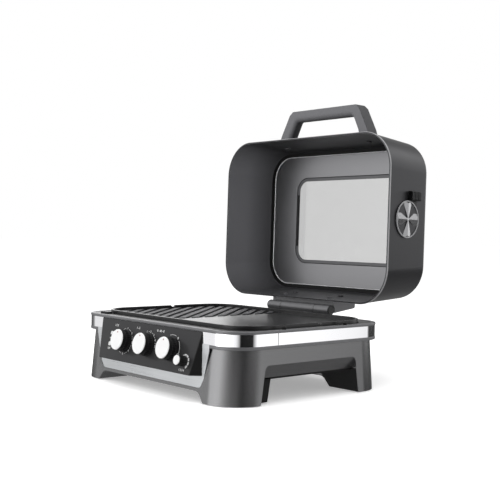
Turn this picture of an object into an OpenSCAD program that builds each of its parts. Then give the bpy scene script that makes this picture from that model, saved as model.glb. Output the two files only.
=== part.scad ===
// Electric indoor grill with a hinged lid, shown standing open
// Units are millimetres: X to the right, Y to the back, Z up
// The origin is on the table, under the centre of the base

/* [Base outline] */
// Width of the base over its metal band
base_w = 400; // [360:1:440]
// Depth of the base over its metal band
base_d = 309; // [280:1:340]
// Corner radius of the band seen from above
base_r = 46; // [30:1:60]
// Height of the metal band's lower edge
band_z0 = 83.4; // [60:0.1:110]
// Height of the metal strip of the band
band_h = 16.9; // [8:0.1:30]
// Thickness of the metal strip
band_t = 1.6; // [1:0.1:3]
// Height of the grey lip above the band
lip_h = 4.2; // [2:0.1:8]
// How far the grey lips stand out past the band
lip_out = 0.8; // [0.2:0.1:2]
// Height of the lower grey lip under the band
low_lip_h = 4.9; // [2:0.1:10]
// Width of the top lip seen from above
lip_w = 8; // [5:0.5:16]

/* [Housing] */
// How far the housing is set in under the lip, each side
house_in = 4.4; // [2:0.1:8]
// How far the housing flares out at each side, from lip to table
flare_x = 1.3; // [0:0.1:8]
// How far the housing flares out at the front and back
flare_y = 7; // [0:0.1:12]
// Corner radius of the housing at the table
house_foot_r = 54; // [40:1:70]
// Wall thickness of the moulded housing
wall = 2.5; // [1.5:0.1:4]
// Distance of the front arch's crown from the base's side
arch_in_top = 74; // [60:1:110]
// Distance of the front arch's foot from the base's side
arch_in_foot = 64; // [50:1:100]
// Height of the front and back arches
arch_h = 16; // [8:1:30]
// Height where the side skirt starts to slope inwards
skirt_top = 56; // [45:1:65]
// Height of the lower edge of the side skirt
skirt_foot = 37.5; // [30:0.5:45]
// How far the lower edges of the side skirts are set in
skirt_in = 13; // [7:0.5:25]
// Distance of the side arch from the base's front
side_in_front = 59.5; // [35:0.5:90]
// Distance of the side arch from the base's back
side_in_back = 68.5; // [45:0.5:100]
// How far the side arch widens from its crown to the table
side_flare = 9; // [0:1:20]
// Thickness of the bottom cover
cover_t = 2; // [1.2:0.1:4]
// Radius of the screw bosses inside the housing
boss_r = 6.5; // [5:0.5:9]
// Radius of the screws that hold the bottom cover
screw_r = 2; // [1.5:0.1:3]
// Distance of the bosses from the base's sides
boss_in_x = 42; // [30:1:70]
// Distance of the bosses from the base's front and back
boss_in_y = 32.5; // [26:0.5:60]
// Radius of the rubber feet
foot_r = 9; // [6:0.5:14]
// Height of the rubber feet
foot_h = 5; // [2:0.5:10]
// Distance of the mains inlet from the base's right side
inlet_in = 80; // [50:1:170]
// Height of the mains inlet
inlet_z = 58; // [50:1:62]
// Depth of the mains inlet's body
inlet_d = 13.5; // [10:0.5:14]
// How far the legs stop above the table
leg_gap = 0.8; // [0.4:0.1:3]

/* [Front] */
// Thickness of the brushed front sheet
fascia_t = 2; // [1:0.1:4]
// Height of the lower edge of the front sheet
fascia_z0 = 20.5; // [10:0.5:40]
// Distance of the front sheet from the base's side, under the band
fascia_in_top = 55; // [40:1:68]
// Distance of the front sheet from the base's side, at the panel's foot
fascia_in_mid = 66; // [50:1:84]
// Distance of the front sheet from the base's side, at its lower edge
fascia_in_low = 73; // [60:1:100]
// Distance from the front to the seam between front sheet and band
seam_in = 78.5; // [50:0.5:110]
// Distance of the control panel from the base's side, at its top
panel_in_top = 70; // [56:1:90]
// Distance of the control panel from the base's side, at its front foot
panel_in_foot = 82; // [60:1:100]
// Height of the control panel's lower edge
panel_z0 = 38.3; // [25:0.1:60]
// How far the panel's foot stands out from the front sheet
panel_out = 14; // [6:0.5:25]
// Wall thickness of the control panel
panel_t = 2.4; // [1.5:0.1:4]

/* [Knobs] */
// Distance of the middle knob to the right of the middle
knob_shift = 4.5; // [0:0.5:8]
// Distance from the middle knob to the small one, counted in steps of the large knobs
dimmer_ratio = 1.625; // [1.5:0.025:2]
// Height of the large knobs on the panel
knob_z = 69.7; // [60:0.1:80]
// Radius of a large knob's grip
knob_r = 16.2; // [12:0.1:24]
// Height of a large knob off the panel
knob_h = 16.4; // [8:0.1:24]
// Radius of a large knob's skirt
knob_skirt_r = 17.4; // [14:0.1:26]
// Radius of the small knob
dimmer_r = 7.9; // [5:0.1:12]
// Height of the small knob off the panel
dimmer_h = 15.6; // [8:0.1:22]
// Distance of the small knob from the base's right side
dimmer_in = 98; // [90:0.5:108]
// Height of the small knob on the panel
dimmer_z = 56.5; // [45:0.5:70]
// Radius of the knob spindles
spindle_r = 3; // [2:0.1:4]
// Thickness of the knobs' white caps
cap_t = 1.4; // [0.8:0.1:3]
// Gap between the panel and the back of a knob
knob_gap = 0.6; // [0.3:0.1:2]

/* [Cooking well] */
// Thickness of the well's sheet
well_t = 1.6; // [1:0.1:3]
// Height of the well's floor
well_floor = 60; // [45:1:75]
// Gap between the frame and the sides of the tub
tub_in_x = 3.8; // [2:0.1:20]
// Gap between the frame and the front and back of the tub
tub_in_y = 13.3; // [8:0.1:30]
// Corner radius of the tub
tub_r = 54; // [40:1:70]
// How far the tub is shifted to the back
tub_y = 3; // [-5:0.5:8]
// Gap between the tub and the grill plate
plate_gap = 1.9; // [1:0.1:5]
// Corner radius of the grill plate
plate_r = 50; // [40:1:66]
// Height of the plate's rim
plate_top = 109.5; // [104:0.1:114]
// Height of the plate's underside at the rim
plate_foot = 96; // [88:0.5:100]
// Thickness of the plate
plate_t = 4.5; // [3:0.1:8]
// Width of the raised rim round the plate
plate_rim = 5; // [3:0.5:10]
// Height of the flat cooking area
plate_flat = 104; // [100:0.1:108]
// Height of the tops of the ribs
rib_top = 105; // [101:0.1:108]
// Spacing of the ribs
rib_pitch = 17; // [10:0.5:24]
// Width of a rib
rib_w = 7; // [3:0.5:12]
// Direction of the ribs, from the right round to the back
rib_angle = 130; // [100:1:160]
// Where the ribbed area ends and the flat area starts
rib_edge = -13; // [-60:1:60]
// Gap between the tub and the sides of the drip tray
tray_in = 24; // [12:1:60]
// Height of the drip tray
tray_h = 12; // [8:0.5:20]
// Radius of the heating element's tube
heater_r = 3.3; // [2.5:0.1:5]
// Height of the heating element
heater_z = 86; // [78:0.5:90]
// Distance of the element's bends from the tub's front and back
heater_in = 16; // [8:1:50]
// Spacing of the element's straight runs
heater_pitch = 56; // [40:1:64]

/* [Hinge] */
// Distance of the hinge axis behind the band
hinge_back = 2.5; // [1:0.1:12]
// Height of the hinge axis above the grey lip
hinge_up = 9; // [8.8:0.1:14]
// Radius of the hinge barrel
barrel_r = 8.5; // [6:0.1:12]
// Length of the hinge barrel
barrel_len = 149; // [110:1:200]
// Distance of the leaf's front edge from the lid's rim
leaf_front = 11; // [3:0.1:14]
// Length of each of the lid's two hinge knuckles
knuckle_len = 33.9; // [15:0.1:60]
// Radius of the hinge pin
pin_r = 3; // [2:0.1:4]
// Clearance between moving faces
run_gap = 0.3; // [0.2:0.05:0.6]
// Thickness of the hinge bracket on the base
mount_t = 3; // [2:0.5:5]
// Height of the rubber lid bumpers
bumper_h = 3.5; // [2:0.1:3.6]

/* [Lid] */
// How far the lid's rim is set in from the band at each side
lid_in = 2; // [1:0.1:5]
// How far the shut lid's front is set in from the band
lid_front = 20.65; // [10:0.05:30]
// Corner radius of the lid at its rim
lid_r = 58.5; // [40:0.5:80]
// Depth of the lid from rim to window face
lid_depth = 105; // [80:1:130]
// How much each side draws in from rim to window face
lid_draft = 8.25; // [2:0.25:16]
// Thickness of the lid's sheet
lid_t = 2; // [1.2:0.1:3]
// Lean of the open lid behind upright
lid_lean = 1.2; // [0:0.1:12]
// Distance of the hinge axis behind the rim of the lid
lid_set = 5.25; // [3:0.05:9]
// Distance of the hinge axis from the lid's nearer edge
lid_reach = 15.2; // [12:0.1:25]
// How far the window stands off the middle of the lid, to its right
window_shift = 6.8; // [0:0.1:12]
// Width of the window
window_w = 240.4; // [160:0.1:260]
// Height of the window
window_h = 145.3; // [100:0.1:170]
// Corner radius of the window
window_r = 19.5; // [8:0.5:40]
// Thickness of the window glass
glass_t = 3; // [2:0.1:5]
// How far the inner panel is set in at the sides
liner_side = 14.25; // [6:0.05:30]
// How far the inner panel is set in at its top and foot
liner_end = 11.1; // [6:0.1:30]
// Corner radius of the panel inside the lid
liner_r = 42; // [30:0.5:60]
// Thickness of the panel inside the lid
liner_t = 1.2; // [0.8:0.1:2]
// Length of the clips beside the glass
clip_len = 103; // [60:1:120]

/* [Handle] */
// Half width of the handle at its top
handle_half_top = 79; // [60:1:110]
// Half width of the handle at the lid
handle_half_foot = 113; // [90:1:140]
// Height of the handle over the lid's middle line
handle_top = 194.2; // [170:0.1:210]
// Thickness of the handle's grip
grip_t = 18.8; // [12:0.1:26]
// Width of the handle seen from above
handle_d = 23.5; // [18:0.5:36]
// Distance of the handle behind the lid's rim
handle_in = 46; // [30:0.5:70]
// Half width of the hand opening at the grip
opening_half_top = 68; // [40:1:80]
// Half width of the hand opening at the lid
opening_half_foot = 86; // [60:1:95]

/* [Vent] */
// Radius of the vent's turning disc
vent_r = 29.5; // [20:0.5:36]
// Distance of the vent behind the lid's rim
vent_in = 47.5; // [36:0.5:60]
// Thickness of the vent disc
vent_t = 1; // [0.6:0.1:2]
// Inner radius of the vent openings
vent_hole_r0 = 7; // [5:0.5:12]
// Outer radius of the vent openings
vent_hole_r1 = 24.5; // [18:0.5:30]
// Half angle of each vent opening
vent_half = 20; // [12:1:22]
// Radius of the vent's rivet
rivet_r = 2; // [1.5:0.1:4]
// Height of the finger tab off the lid
tab_h = 8.4; // [5:0.1:14]

/* [Hidden] */
$fn = 64;
big = 500;
band_z1 = band_z0 + band_h;
lip_z1 = band_z1 + lip_h;
low_z0 = band_z0 - low_lip_h;
lip_ow = base_w + 2 * lip_out;
lip_od = base_d + 2 * lip_out;
lip_or = base_r + lip_out;
frame_in_w = lip_ow - 2 * lip_w;
frame_in_d = lip_od - 2 * lip_w;
front_y = -base_d / 2 - 0.4;
house_w = lip_ow - 2 * house_in;
house_d = lip_od - 2 * house_in;
house_r = lip_or - house_in + 2;
house_foot_w = house_w + 2 * flare_x;
house_foot_d = house_d + 2 * flare_y;
arch_half_top = base_w / 2 - arch_in_top;
arch_half_foot = base_w / 2 - arch_in_foot;
skirt_half = base_w / 2 - skirt_in;
side_front = side_in_front - base_d / 2;
side_back = base_d / 2 - side_in_back;
boss_x = base_w / 2 - boss_in_x;
boss_y = base_d / 2 - boss_in_y;
inlet_x = base_w / 2 - inlet_in;
fascia_half_top = base_w / 2 - fascia_in_top;
fascia_half_mid = base_w / 2 - fascia_in_mid;
fascia_half_low = base_w / 2 - fascia_in_low;
seam_y = seam_in - base_d / 2;
panel_half_top = base_w / 2 - panel_in_top;
panel_half_foot = base_w / 2 - panel_in_foot;
dimmer_x = base_w / 2 - dimmer_in;
knob_pitch = (dimmer_x - knob_shift) / dimmer_ratio;
mode_x = knob_shift - knob_pitch;
timer_x = knob_shift + knob_pitch;
tub_w = frame_in_w - 2 * tub_in_x;
tub_d = frame_in_d - 2 * tub_in_y;
plate_w = tub_w - 2 * well_t - 2 * plate_gap;
plate_d = tub_d - 2 * well_t - 2 * plate_gap;
tray_w = tub_w - 2 * tray_in;
tray_d = tub_d - 2 * tray_in;
heater_half = tub_d / 2 - heater_in;
hinge_y = base_d / 2 + hinge_back;
hinge_z = lip_z1 + hinge_up;
knuckle_half = barrel_len / 2 - knuckle_len;
lid_w = base_w - 2 * lid_in;
lid_h = base_d / 2 + hinge_y - lid_front - lid_reach;
cover_z = skirt_foot - cover_t;
panel_lean = atan2(panel_out, band_z1 - panel_z0);
draft_slope = lid_draft / lid_depth;
draft_angle = atan(draft_slope);
back_slope = atan2((house_foot_d - house_d) / 2, low_z0);
face_w = lid_w - 2 * lid_draft;
face_h = lid_h - 2 * lid_draft;
liner_w = face_w - 2 * liner_side;
liner_h = face_h - 2 * liner_end;
flange_z = lip_z1 - 0.6;
flange_t = 1.6;
plate_floor_z = plate_flat - plate_t;
leaf_screw_x = barrel_len / 2 - 19;
handle_screw_x = (handle_half_foot + opening_half_foot) / 2;

// A rectangle with round corners
module rr2(w, d, r) {
    square([w - 2 * r, d], center = true);
    square([w, d - 2 * r], center = true);
    for (sx = [-1, 1])
        for (sy = [-1, 1])
            translate([sx * (w / 2 - r), sy * (d / 2 - r)])
                circle(r = r);
}

// A flat block with round corners between two heights
module slab(w, d, r, z0, z1) {
    translate([0, 0, z0])
        linear_extrude(height = z1 - z0)
            rr2(w, d, r);
}

// A profile in Y and Z, drawn out along X
module along_x(half, points) {
    translate([-half, 0, 0])
        rotate([90, 0, 90])
            linear_extrude(height = 2 * half)
                polygon(points);
}

// A profile in X and Z, drawn out along Y
module along_y(y0, y1, points) {
    translate([0, y1, 0])
        rotate([90, 0, 0])
            linear_extrude(height = y1 - y0)
                polygon(points);
}

// A round bar along X
module bar_x(r, half) {
    rotate([0, 90, 0])
        cylinder(r = r, h = 2 * half, center = true);
}

// The solid form of the housing, drawn in by a given amount
module house_form(cut) {
    hull() {
        slab(house_foot_w - 2 * cut, house_foot_d - 2 * cut, house_foot_r - cut, 0, 0.02);
        slab(house_w - 2 * cut, house_d - 2 * cut, house_r - cut, low_z0 - 0.02, low_z0);
    }
}

// The outline of the front sheet under the band
module fascia_shape(grow) {
    polygon([[-fascia_half_top - grow, band_z0 + 0.5], [-fascia_half_top - grow, band_z0 - 8],
        [-fascia_half_mid - grow, 36], [-fascia_half_low - grow, fascia_z0 - grow],
        [fascia_half_low + grow, fascia_z0 - grow], [fascia_half_mid + grow, 36],
        [fascia_half_top + grow, band_z0 - 8], [fascia_half_top + grow, band_z0 + 0.5]]);
}

// Puts its children on the control panel's face, with Z pointing out
module on_panel(x, z) {
    translate([x, front_y - panel_out * (band_z1 - z) / (band_z1 - panel_z0), z])
        rotate([90 - panel_lean, 0, 0])
            children();
}

// Puts its children on all four control positions
module on_controls() {
    for (i = [-1, 0, 1])
        on_panel(knob_shift + i * knob_pitch, knob_z)
            children();
    on_panel(dimmer_x, dimmer_z)
        children();
}

// Puts its children on the back wall of the housing, with Z pointing out
module on_back(x, z) {
    translate([x, house_d / 2 + (house_foot_d - house_d) / 2 * (low_z0 - z) / low_z0, z])
        rotate([-90 + back_slope, 0, 0])
            children();
}

// The housing: drafted walls, four corner legs and sloping side skirts
module base_housing() {
    color([0.36, 0.36, 0.37])
    difference() {
        union() {
            difference() {
                house_form(0);
                house_form(wall);
                translate([0, 0, -1])
                    slab(house_foot_w + 20, house_foot_d + 20, house_foot_r, 0, leg_gap + 1);
                along_y(-big, big, [[-arch_half_foot, -1], [-arch_half_foot, leg_gap],
                    [-arch_half_top - 2, arch_h - 5], [-arch_half_top + 3, arch_h],
                    [arch_half_top - 3, arch_h], [arch_half_top + 2, arch_h - 5],
                    [arch_half_foot, leg_gap], [arch_half_foot, -1]]);
                along_x(big, [[side_front - side_flare, -1], [side_front, skirt_top],
                    [side_back, skirt_top], [side_back + side_flare, -1]]);
            }
            difference() {
                house_form(wall - 0.02);
                house_form(wall + 4);
                translate([-big, -big, -1])
                    cube([2 * big, 2 * big, low_z0 - wall + 1]);
            }
            for (s = [-1, 1])
                along_y(side_front - 6, side_back + 6,
                    [[s * (skirt_half - wall), skirt_foot], [s * skirt_half, skirt_foot],
                    [s * (house_w / 2 + 0.5), skirt_top + 0.6], [s * (house_w / 2 - 2), skirt_top + 3],
                    [s * (house_w / 2 - 2.4), skirt_top]]);
            for (sx = [-1, 1])
                for (sy = [-1, 1])
                    translate([sx * boss_x, sy * boss_y, skirt_foot]) {
                        cylinder(r = boss_r, h = low_z0 - 19 - skirt_foot);
                        translate([-1.5, sy > 0 ? 0 : -house_d / 2 + boss_y - 2, 0])
                            cube([3, house_d / 2 - boss_y + 2, low_z0 - 19 - skirt_foot]);
                    }
            translate([-fascia_half_mid + 2, front_y + fascia_t, arch_h])
                cube([2 * fascia_half_mid - 4, wall, low_z0 - arch_h]);
        }
        translate([0, front_y + fascia_t, 0])
            rotate([90, 0, 0])
                linear_extrude(height = 20)
                    fascia_shape(0.2);
        translate([-fascia_half_mid + 4, front_y + fascia_t + wall, skirt_foot])
            cube([2 * fascia_half_mid - 8, wall + 2, low_z0 - wall - skirt_foot]);
        for (sx = [-1, 1])
            for (sy = [-1, 1])
                translate([sx * boss_x, sy * boss_y, skirt_foot - 1])
                    cylinder(r = screw_r, h = 15);
        on_controls()
            translate([0, 0, -30])
                cylinder(r = spindle_r + 1, h = 30);
        on_back(inlet_x, inlet_z)
            translate([-25, -15, -20])
                cube([50, 30, 30]);
    }
}

// The cover that closes the base from below
module bottom_cover() {
    color([0.1, 0.1, 0.1])
    difference() {
        union() {
            translate([0, 0.6, 0])
                slab(2 * skirt_half - 2 * wall - 0.6, house_foot_d - 2 * wall - 9, 48, cover_z, skirt_foot);
            for (sx = [-1, 1])
                for (sy = [-1, 1])
                    translate([sx * (boss_x + 12), sy * (boss_y - 4), foot_h - 0.5])
                        cylinder(r = 6, h = cover_z - foot_h + 1);
        }
        for (sx = [-1, 1])
            for (sy = [-1, 1])
                translate([sx * boss_x, sy * boss_y, cover_z - 1])
                    cylinder(r = screw_r + 0.3, h = cover_t + 2);
        for (i = [-4:4])
            translate([i * 22 - 3, -40, cover_z - 1])
                cube([6, 80, cover_t + 2]);
    }
}

// Four rubber feet inside the legs
module rubber_feet() {
    color([0.05, 0.05, 0.05])
    for (sx = [-1, 1])
        for (sy = [-1, 1])
            translate([sx * (boss_x + 12), sy * (boss_y - 4), 0])
                difference() {
                    cylinder(r = foot_r, h = foot_h);
                    translate([0, 0, foot_h - 0.5])
                        cylinder(r = 6.05, h = 2);
                }
}

// The screws that hold the bottom cover to the housing
module base_screws() {
    color([0.6, 0.6, 0.6])
    for (sx = [-1, 1])
        for (sy = [-1, 1])
            translate([sx * boss_x, sy * boss_y, cover_z - 2]) {
                cylinder(r = 3.6, h = 2);
                cylinder(r = screw_r - 0.02, h = 14);
            }
}

// The brushed front sheet with its wings round the two front corners
module front_fascia() {
    color([0.78, 0.79, 0.8])
    difference() {
        union() {
            difference() {
                slab(base_w, base_d, base_r, band_z0, band_z1);
                translate([0, 0, -1])
                    slab(base_w - 2 * band_t, base_d - 2 * band_t, base_r - band_t, band_z0, band_z1 + 2);
                translate([-big, seam_y, 0])
                    cube([2 * big, big, big]);
            }
            translate([0, front_y + fascia_t, 0])
                rotate([90, 0, 0])
                    linear_extrude(height = fascia_t)
                        fascia_shape(0);
            translate([-fascia_half_top, front_y, band_z0])
                cube([2 * fascia_half_top, band_t + 0.4, band_h]);
        }
        on_controls()
            translate([0, 0, -30])
                cylinder(r = spindle_r + 1, h = 30);
    }
}

// The polished band round the sides and back
module trim_band() {
    color([0.88, 0.88, 0.9])
    difference() {
        slab(base_w, base_d, base_r, band_z0, band_z1);
        translate([0, 0, -1])
            slab(base_w - 2 * band_t, base_d - 2 * band_t, base_r - band_t, band_z0, band_z1 + 2);
        translate([-big, seam_y + 0.2 - big, 0])
            cube([2 * big, big, big]);
    }
}

// The cast frame that carries the band, the well and the hinge
module top_frame() {
    color([0.5, 0.5, 0.51])
    difference() {
        union() {
            slab(lip_ow - 0.8, lip_od - 0.8, lip_or, low_z0, band_z0);
            slab(base_w - 2 * band_t - 0.05, base_d - 2 * band_t - 0.05, base_r - band_t,
                band_z0 - 0.5, band_z1 + 0.5);
            slab(lip_ow, lip_od, lip_or, band_z1, lip_z1);
        }
        translate([0, 0, -1])
            slab(frame_in_w - 3, frame_in_d - 3, lip_or - lip_w - 1, low_z0, lip_z1 + 2);
        slab(frame_in_w, frame_in_d, lip_or - lip_w, flange_z - flange_t, lip_z1 + 2);
        translate([-fascia_half_top - 0.2, -big, low_z0 - 1])
            cube([2 * fascia_half_top + 0.4, big + front_y + fascia_t, band_z0 - low_z0 + 1.5]);
        on_controls()
            translate([0, 0, -30])
                cylinder(r = spindle_r + 1, h = 30);
        for (s = [-1, 1])
            translate([s * 30, hinge_y - 5, lip_z1 - 10])
                cylinder(r = 1.6, h = 12);
    }
}

// The black liner: a flange round the top and a tub for the tray
module cooking_well() {
    color([0.05, 0.05, 0.05])
    difference() {
        union() {
            difference() {
                slab(frame_in_w - 0.4, frame_in_d - 0.4, lip_or - lip_w - 0.2, flange_z - flange_t, flange_z);
                translate([0, tub_y, 0])
                    slab(tub_w - 2 * well_t, tub_d - 2 * well_t, tub_r - well_t, 0, big);
            }
            translate([0, tub_y, 0])
                difference() {
                    slab(tub_w, tub_d, tub_r, well_floor, flange_z - 0.5);
                    slab(tub_w - 2 * well_t, tub_d - 2 * well_t, tub_r - well_t, well_floor + well_t, big);
                }
            translate([0, tub_y, 0])
                difference() {
                    slab(tub_w - 1, tub_d - 1, tub_r - 1, plate_foot - 3, plate_foot);
                    slab(tub_w - 18, tub_d - 18, tub_r - 9, 0, big);
                }
        }
        for (s = [-1, 1])
            translate([s * heater_pitch * 1.5, tub_y + tub_d / 2 - 5, heater_z])
                rotate([-90, 0, 0])
                    cylinder(r = heater_r + 0.1, h = 10);
    }
}

// The tray under the heating element
module drip_tray() {
    color([0.62, 0.63, 0.64])
    translate([0, tub_y, well_floor + well_t])
        difference() {
            union() {
                slab(tray_w - 8, tray_d - 8, 26, 0, tray_h);
                slab(tray_w, tray_d, 30, tray_h - 1.2, tray_h);
            }
            slab(tray_w - 12, tray_d - 12, 24, 1.2, big);
        }
}

// The tubular heating element: four straight runs and their bends
module heating_element() {
    color([0.25, 0.22, 0.2])
    translate([0, tub_y, heater_z]) {
        for (s = [-1.5, -0.5, 0.5, 1.5])
            translate([s * heater_pitch, 0, 0])
                rotate([90, 0, 0])
                    cylinder(r = heater_r, h = 2 * heater_half - heater_pitch, center = true);
        for (k = [[-1, -1], [0, 1], [1, -1]])
            translate([k[0] * heater_pitch, k[1] * (heater_half - heater_pitch / 2), 0])
                rotate([0, 0, k[1] > 0 ? 0 : 180])
                    rotate_extrude(angle = 180)
                        translate([heater_pitch / 2, 0])
                            circle(r = heater_r);
        for (s = [-1, 1])
            translate([s * heater_pitch * 1.5, heater_half - heater_pitch / 2 - 0.5, 0])
                rotate([-90, 0, 0])
                    cylinder(r = heater_r, h = tub_d / 2 - heater_half + heater_pitch / 2 + 6);
    }
}

// Ceramic blocks where the element passes through the well
module element_terminals() {
    color([0.85, 0.83, 0.78])
    for (s = [-1, 1])
        translate([s * heater_pitch * 1.5, tub_y + tub_d / 2 + 0.1, heater_z])
            rotate([-90, 0, 0])
                difference() {
                    cylinder(r = 7, h = 4);
                    translate([0, 0, -1])
                        cylinder(r = heater_r + 0.05, h = 8);
                }
}

// The outer form of the control panel
module panel_form(cut) {
    hull() {
        translate([-panel_half_top + cut, front_y - 0.2, band_z1 - 0.4])
            cube([2 * panel_half_top - 2 * cut, 0.2, 0.4]);
        translate([-panel_half_top + cut, front_y - 0.2, panel_z0 + cut])
            cube([2 * panel_half_top - 2 * cut, 0.2, 0.4]);
        translate([-panel_half_foot + cut, front_y - panel_out + cut, panel_z0 + cut])
            cube([2 * panel_half_foot - 2 * cut, 0.2, 0.2]);
    }
}

// The sloping black control panel
module control_panel() {
    color([0.12, 0.12, 0.13])
    difference() {
        panel_form(0);
        translate([0, 0.5, 0])
            panel_form(panel_t);
        on_controls()
            translate([0, 0, -30])
                cylinder(r = spindle_r + run_gap, h = 40);
    }
}

// The body of a control unit inside the housing
module unit_body(x, z, drop, w, h) {
    difference() {
        translate([x - w / 2, front_y + fascia_t + wall + 0.1, z - drop - h / 2])
            cube([w, 11, h]);
        on_panel(x, z)
            translate([0, 0, -26])
                cylinder(r = spindle_r + run_gap, h = 40);
    }
}

// The mode switch behind the left knob
module mode_switch() {
    color([0.2, 0.2, 0.22])
    unit_body(mode_x, knob_z, 6, 34, 20);
}

// The thermostat behind the middle knob
module thermostat() {
    color([0.7, 0.68, 0.6])
    unit_body(knob_shift, knob_z, 6, 38, 20);
}

// The timer behind the right knob
module timer_unit() {
    color([0.62, 0.63, 0.65])
    unit_body(timer_x, knob_z, 6, 34, 20);
}

// The dimmer behind the small knob
module dimmer_unit() {
    color([0.15, 0.3, 0.2])
    unit_body(dimmer_x, dimmer_z, 3, 22, 18);
}

// The mains inlet on the back wall
module power_inlet() {
    color([0.06, 0.06, 0.06])
    on_back(inlet_x, inlet_z)
        difference() {
            union() {
                translate([-30, -20, 0.05])
                    cube([60, 40, 2.5]);
                translate([-24.5, -14.5, -inlet_d])
                    cube([49, 29, inlet_d + 0.5]);
            }
            translate([-15, -9, 3 - inlet_d])
                cube([30, 18, 20]);
        }
}

// The three contacts inside the inlet
module inlet_pins() {
    color([0.75, 0.72, 0.6])
    on_back(inlet_x, inlet_z)
        for (p = [[-8, 2], [0, -3], [8, 2]])
            translate([p[0] - 1, p[1] - 2, 3 - inlet_d])
                cube([2, 4, 6]);
}

// The hinge's middle knuckle and its bracket on the base
module hinge_mount() {
    color([0.2, 0.2, 0.2])
    difference() {
        union() {
            translate([0, hinge_y, hinge_z])
                bar_x(barrel_r, knuckle_half);
            translate([-knuckle_half, hinge_y - barrel_r + 2, lip_z1])
                cube([2 * knuckle_half, barrel_r - 2, hinge_z - lip_z1]);
            translate([-knuckle_half, lip_od / 2 + 0.1, band_z0 + 2])
                cube([2 * knuckle_half, mount_t, hinge_z - band_z0 - 6]);
        }
        translate([0, hinge_y, hinge_z])
            bar_x(pin_r + 0.02, big);
        for (s = [-1, 1])
            translate([s * 30, hinge_y - 5, lip_z1 - 1])
                cylinder(r = 1.6, h = 4);
    }
}

// The steel pin through all the knuckles
module hinge_pin() {
    color([0.7, 0.7, 0.72])
    translate([0, hinge_y, hinge_z])
        bar_x(pin_r, barrel_len / 2 - 2.2);
}

// Four rubber bumpers the shut lid rests on
module lid_bumpers() {
    color([0.06, 0.06, 0.06])
    for (sx = [-1, 1])
        for (y = [-base_d / 5, base_d / 5])
            translate([sx * (lip_ow - lip_w) / 2, y, lip_z1])
                cylinder(r = 3, h = bumper_h);
}

// The lifting grill plate, ribbed on the left and flat on the right
module grill_plate() {
    color([0.06, 0.06, 0.06])
    translate([0, tub_y, 0])
    difference() {
        union() {
            difference() {
                slab(plate_w, plate_d, plate_r, plate_foot, plate_top);
                slab(plate_w - 2 * plate_rim, plate_d - 2 * plate_rim, plate_r - plate_rim,
                    plate_flat, plate_top + 1);
                intersection() {
                    slab(plate_w - 2 * plate_rim, plate_d - 2 * plate_rim, plate_r - plate_rim,
                        plate_floor_z + plate_t / 2, plate_top + 1);
                    translate([-big, -big / 2, 0])
                        cube([big + rib_edge, big, big]);
                }
                slab(plate_w - 4 * plate_rim, plate_d - 4 * plate_rim, plate_r - 2 * plate_rim,
                    plate_foot - 1, plate_floor_z);
            }
            intersection() {
                slab(plate_w - 2 * plate_rim - 6, plate_d - 2 * plate_rim - 6, plate_r - plate_rim - 3,
                    plate_floor_z + 1, rib_top);
                translate([-big, -big / 2, 0])
                    cube([big + rib_edge - 3, big, big]);
                for (i = [-22:4])
                    rotate([0, 0, rib_angle])
                        translate([-big / 2, i * -rib_pitch - rib_w / 2, 0])
                            cube([big, rib_w, big]);
            }
        }
        for (s = [-1, 1])
            translate([s * (plate_w / 2 - 1), plate_d / 14, plate_top + 3])
                rotate([0, 90, 0])
                    cylinder(r = 6, h = 2 * plate_rim + 8, center = true);
        translate([plate_w / 2 - 62, -plate_d / 2 + 40, plate_floor_z - 1])
            cylinder(r = 4.5, h = 20);
    }
}

// A large knob's black grip: a skirt and a fluted drum
module knob_grip(x) {
    color([0.05, 0.05, 0.05])
    on_panel(x, knob_z)
        difference() {
            union() {
                translate([0, 0, knob_gap])
                    cylinder(r1 = knob_skirt_r, r2 = knob_skirt_r - 0.4, h = 2.2);
                translate([0, 0, knob_gap])
                    cylinder(r = knob_r, h = knob_h - cap_t - knob_gap);
                for (i = [0:29])
                    rotate([0, 0, i * 12])
                        translate([knob_r, 0, knob_gap])
                            cylinder(r = 0.7, h = knob_h - cap_t - knob_gap - 0.6, $fn = 12);
            }
            translate([0, 0, knob_gap - 1])
                cylinder(r = knob_r - 2, h = 4);
            translate([0, 0, knob_gap - 1])
                cylinder(r = spindle_r + 0.02, h = knob_h - 2.8 - knob_gap);
        }
}

// A large knob's white cap
module knob_cap(x) {
    color([0.92, 0.92, 0.92])
    on_panel(x, knob_z)
        translate([0, 0, knob_h - cap_t])
            difference() {
                cylinder(r1 = knob_r - 0.1, r2 = knob_r - 0.7, h = cap_t);
                translate([0, knob_r - 4.6, cap_t - 0.4])
                    cylinder(r = 1.3, h = 1);
            }
}

// The spindle that carries a knob
module spindle(x, z, top) {
    color([0.6, 0.6, 0.62])
    on_panel(x, z)
        translate([0, 0, -18])
            cylinder(r = spindle_r, h = 18 + top);
}

// The left knob, for the mode
module mode_knob() {
    knob_grip(mode_x);
}

// The left knob's cap
module mode_cap() {
    knob_cap(mode_x);
}

// The left knob's spindle
module mode_spindle() {
    spindle(mode_x, knob_z, knob_h - 4);
}

// The middle knob, for the heat
module heat_knob() {
    knob_grip(knob_shift);
}

// The middle knob's cap
module heat_cap() {
    knob_cap(knob_shift);
}

// The middle knob's spindle
module heat_spindle() {
    spindle(knob_shift, knob_z, knob_h - 4);
}

// The right knob, for the timer
module timer_knob() {
    knob_grip(timer_x);
}

// The right knob's cap
module timer_cap() {
    knob_cap(timer_x);
}

// The right knob's spindle
module timer_spindle() {
    spindle(timer_x, knob_z, knob_h - 4);
}

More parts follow.
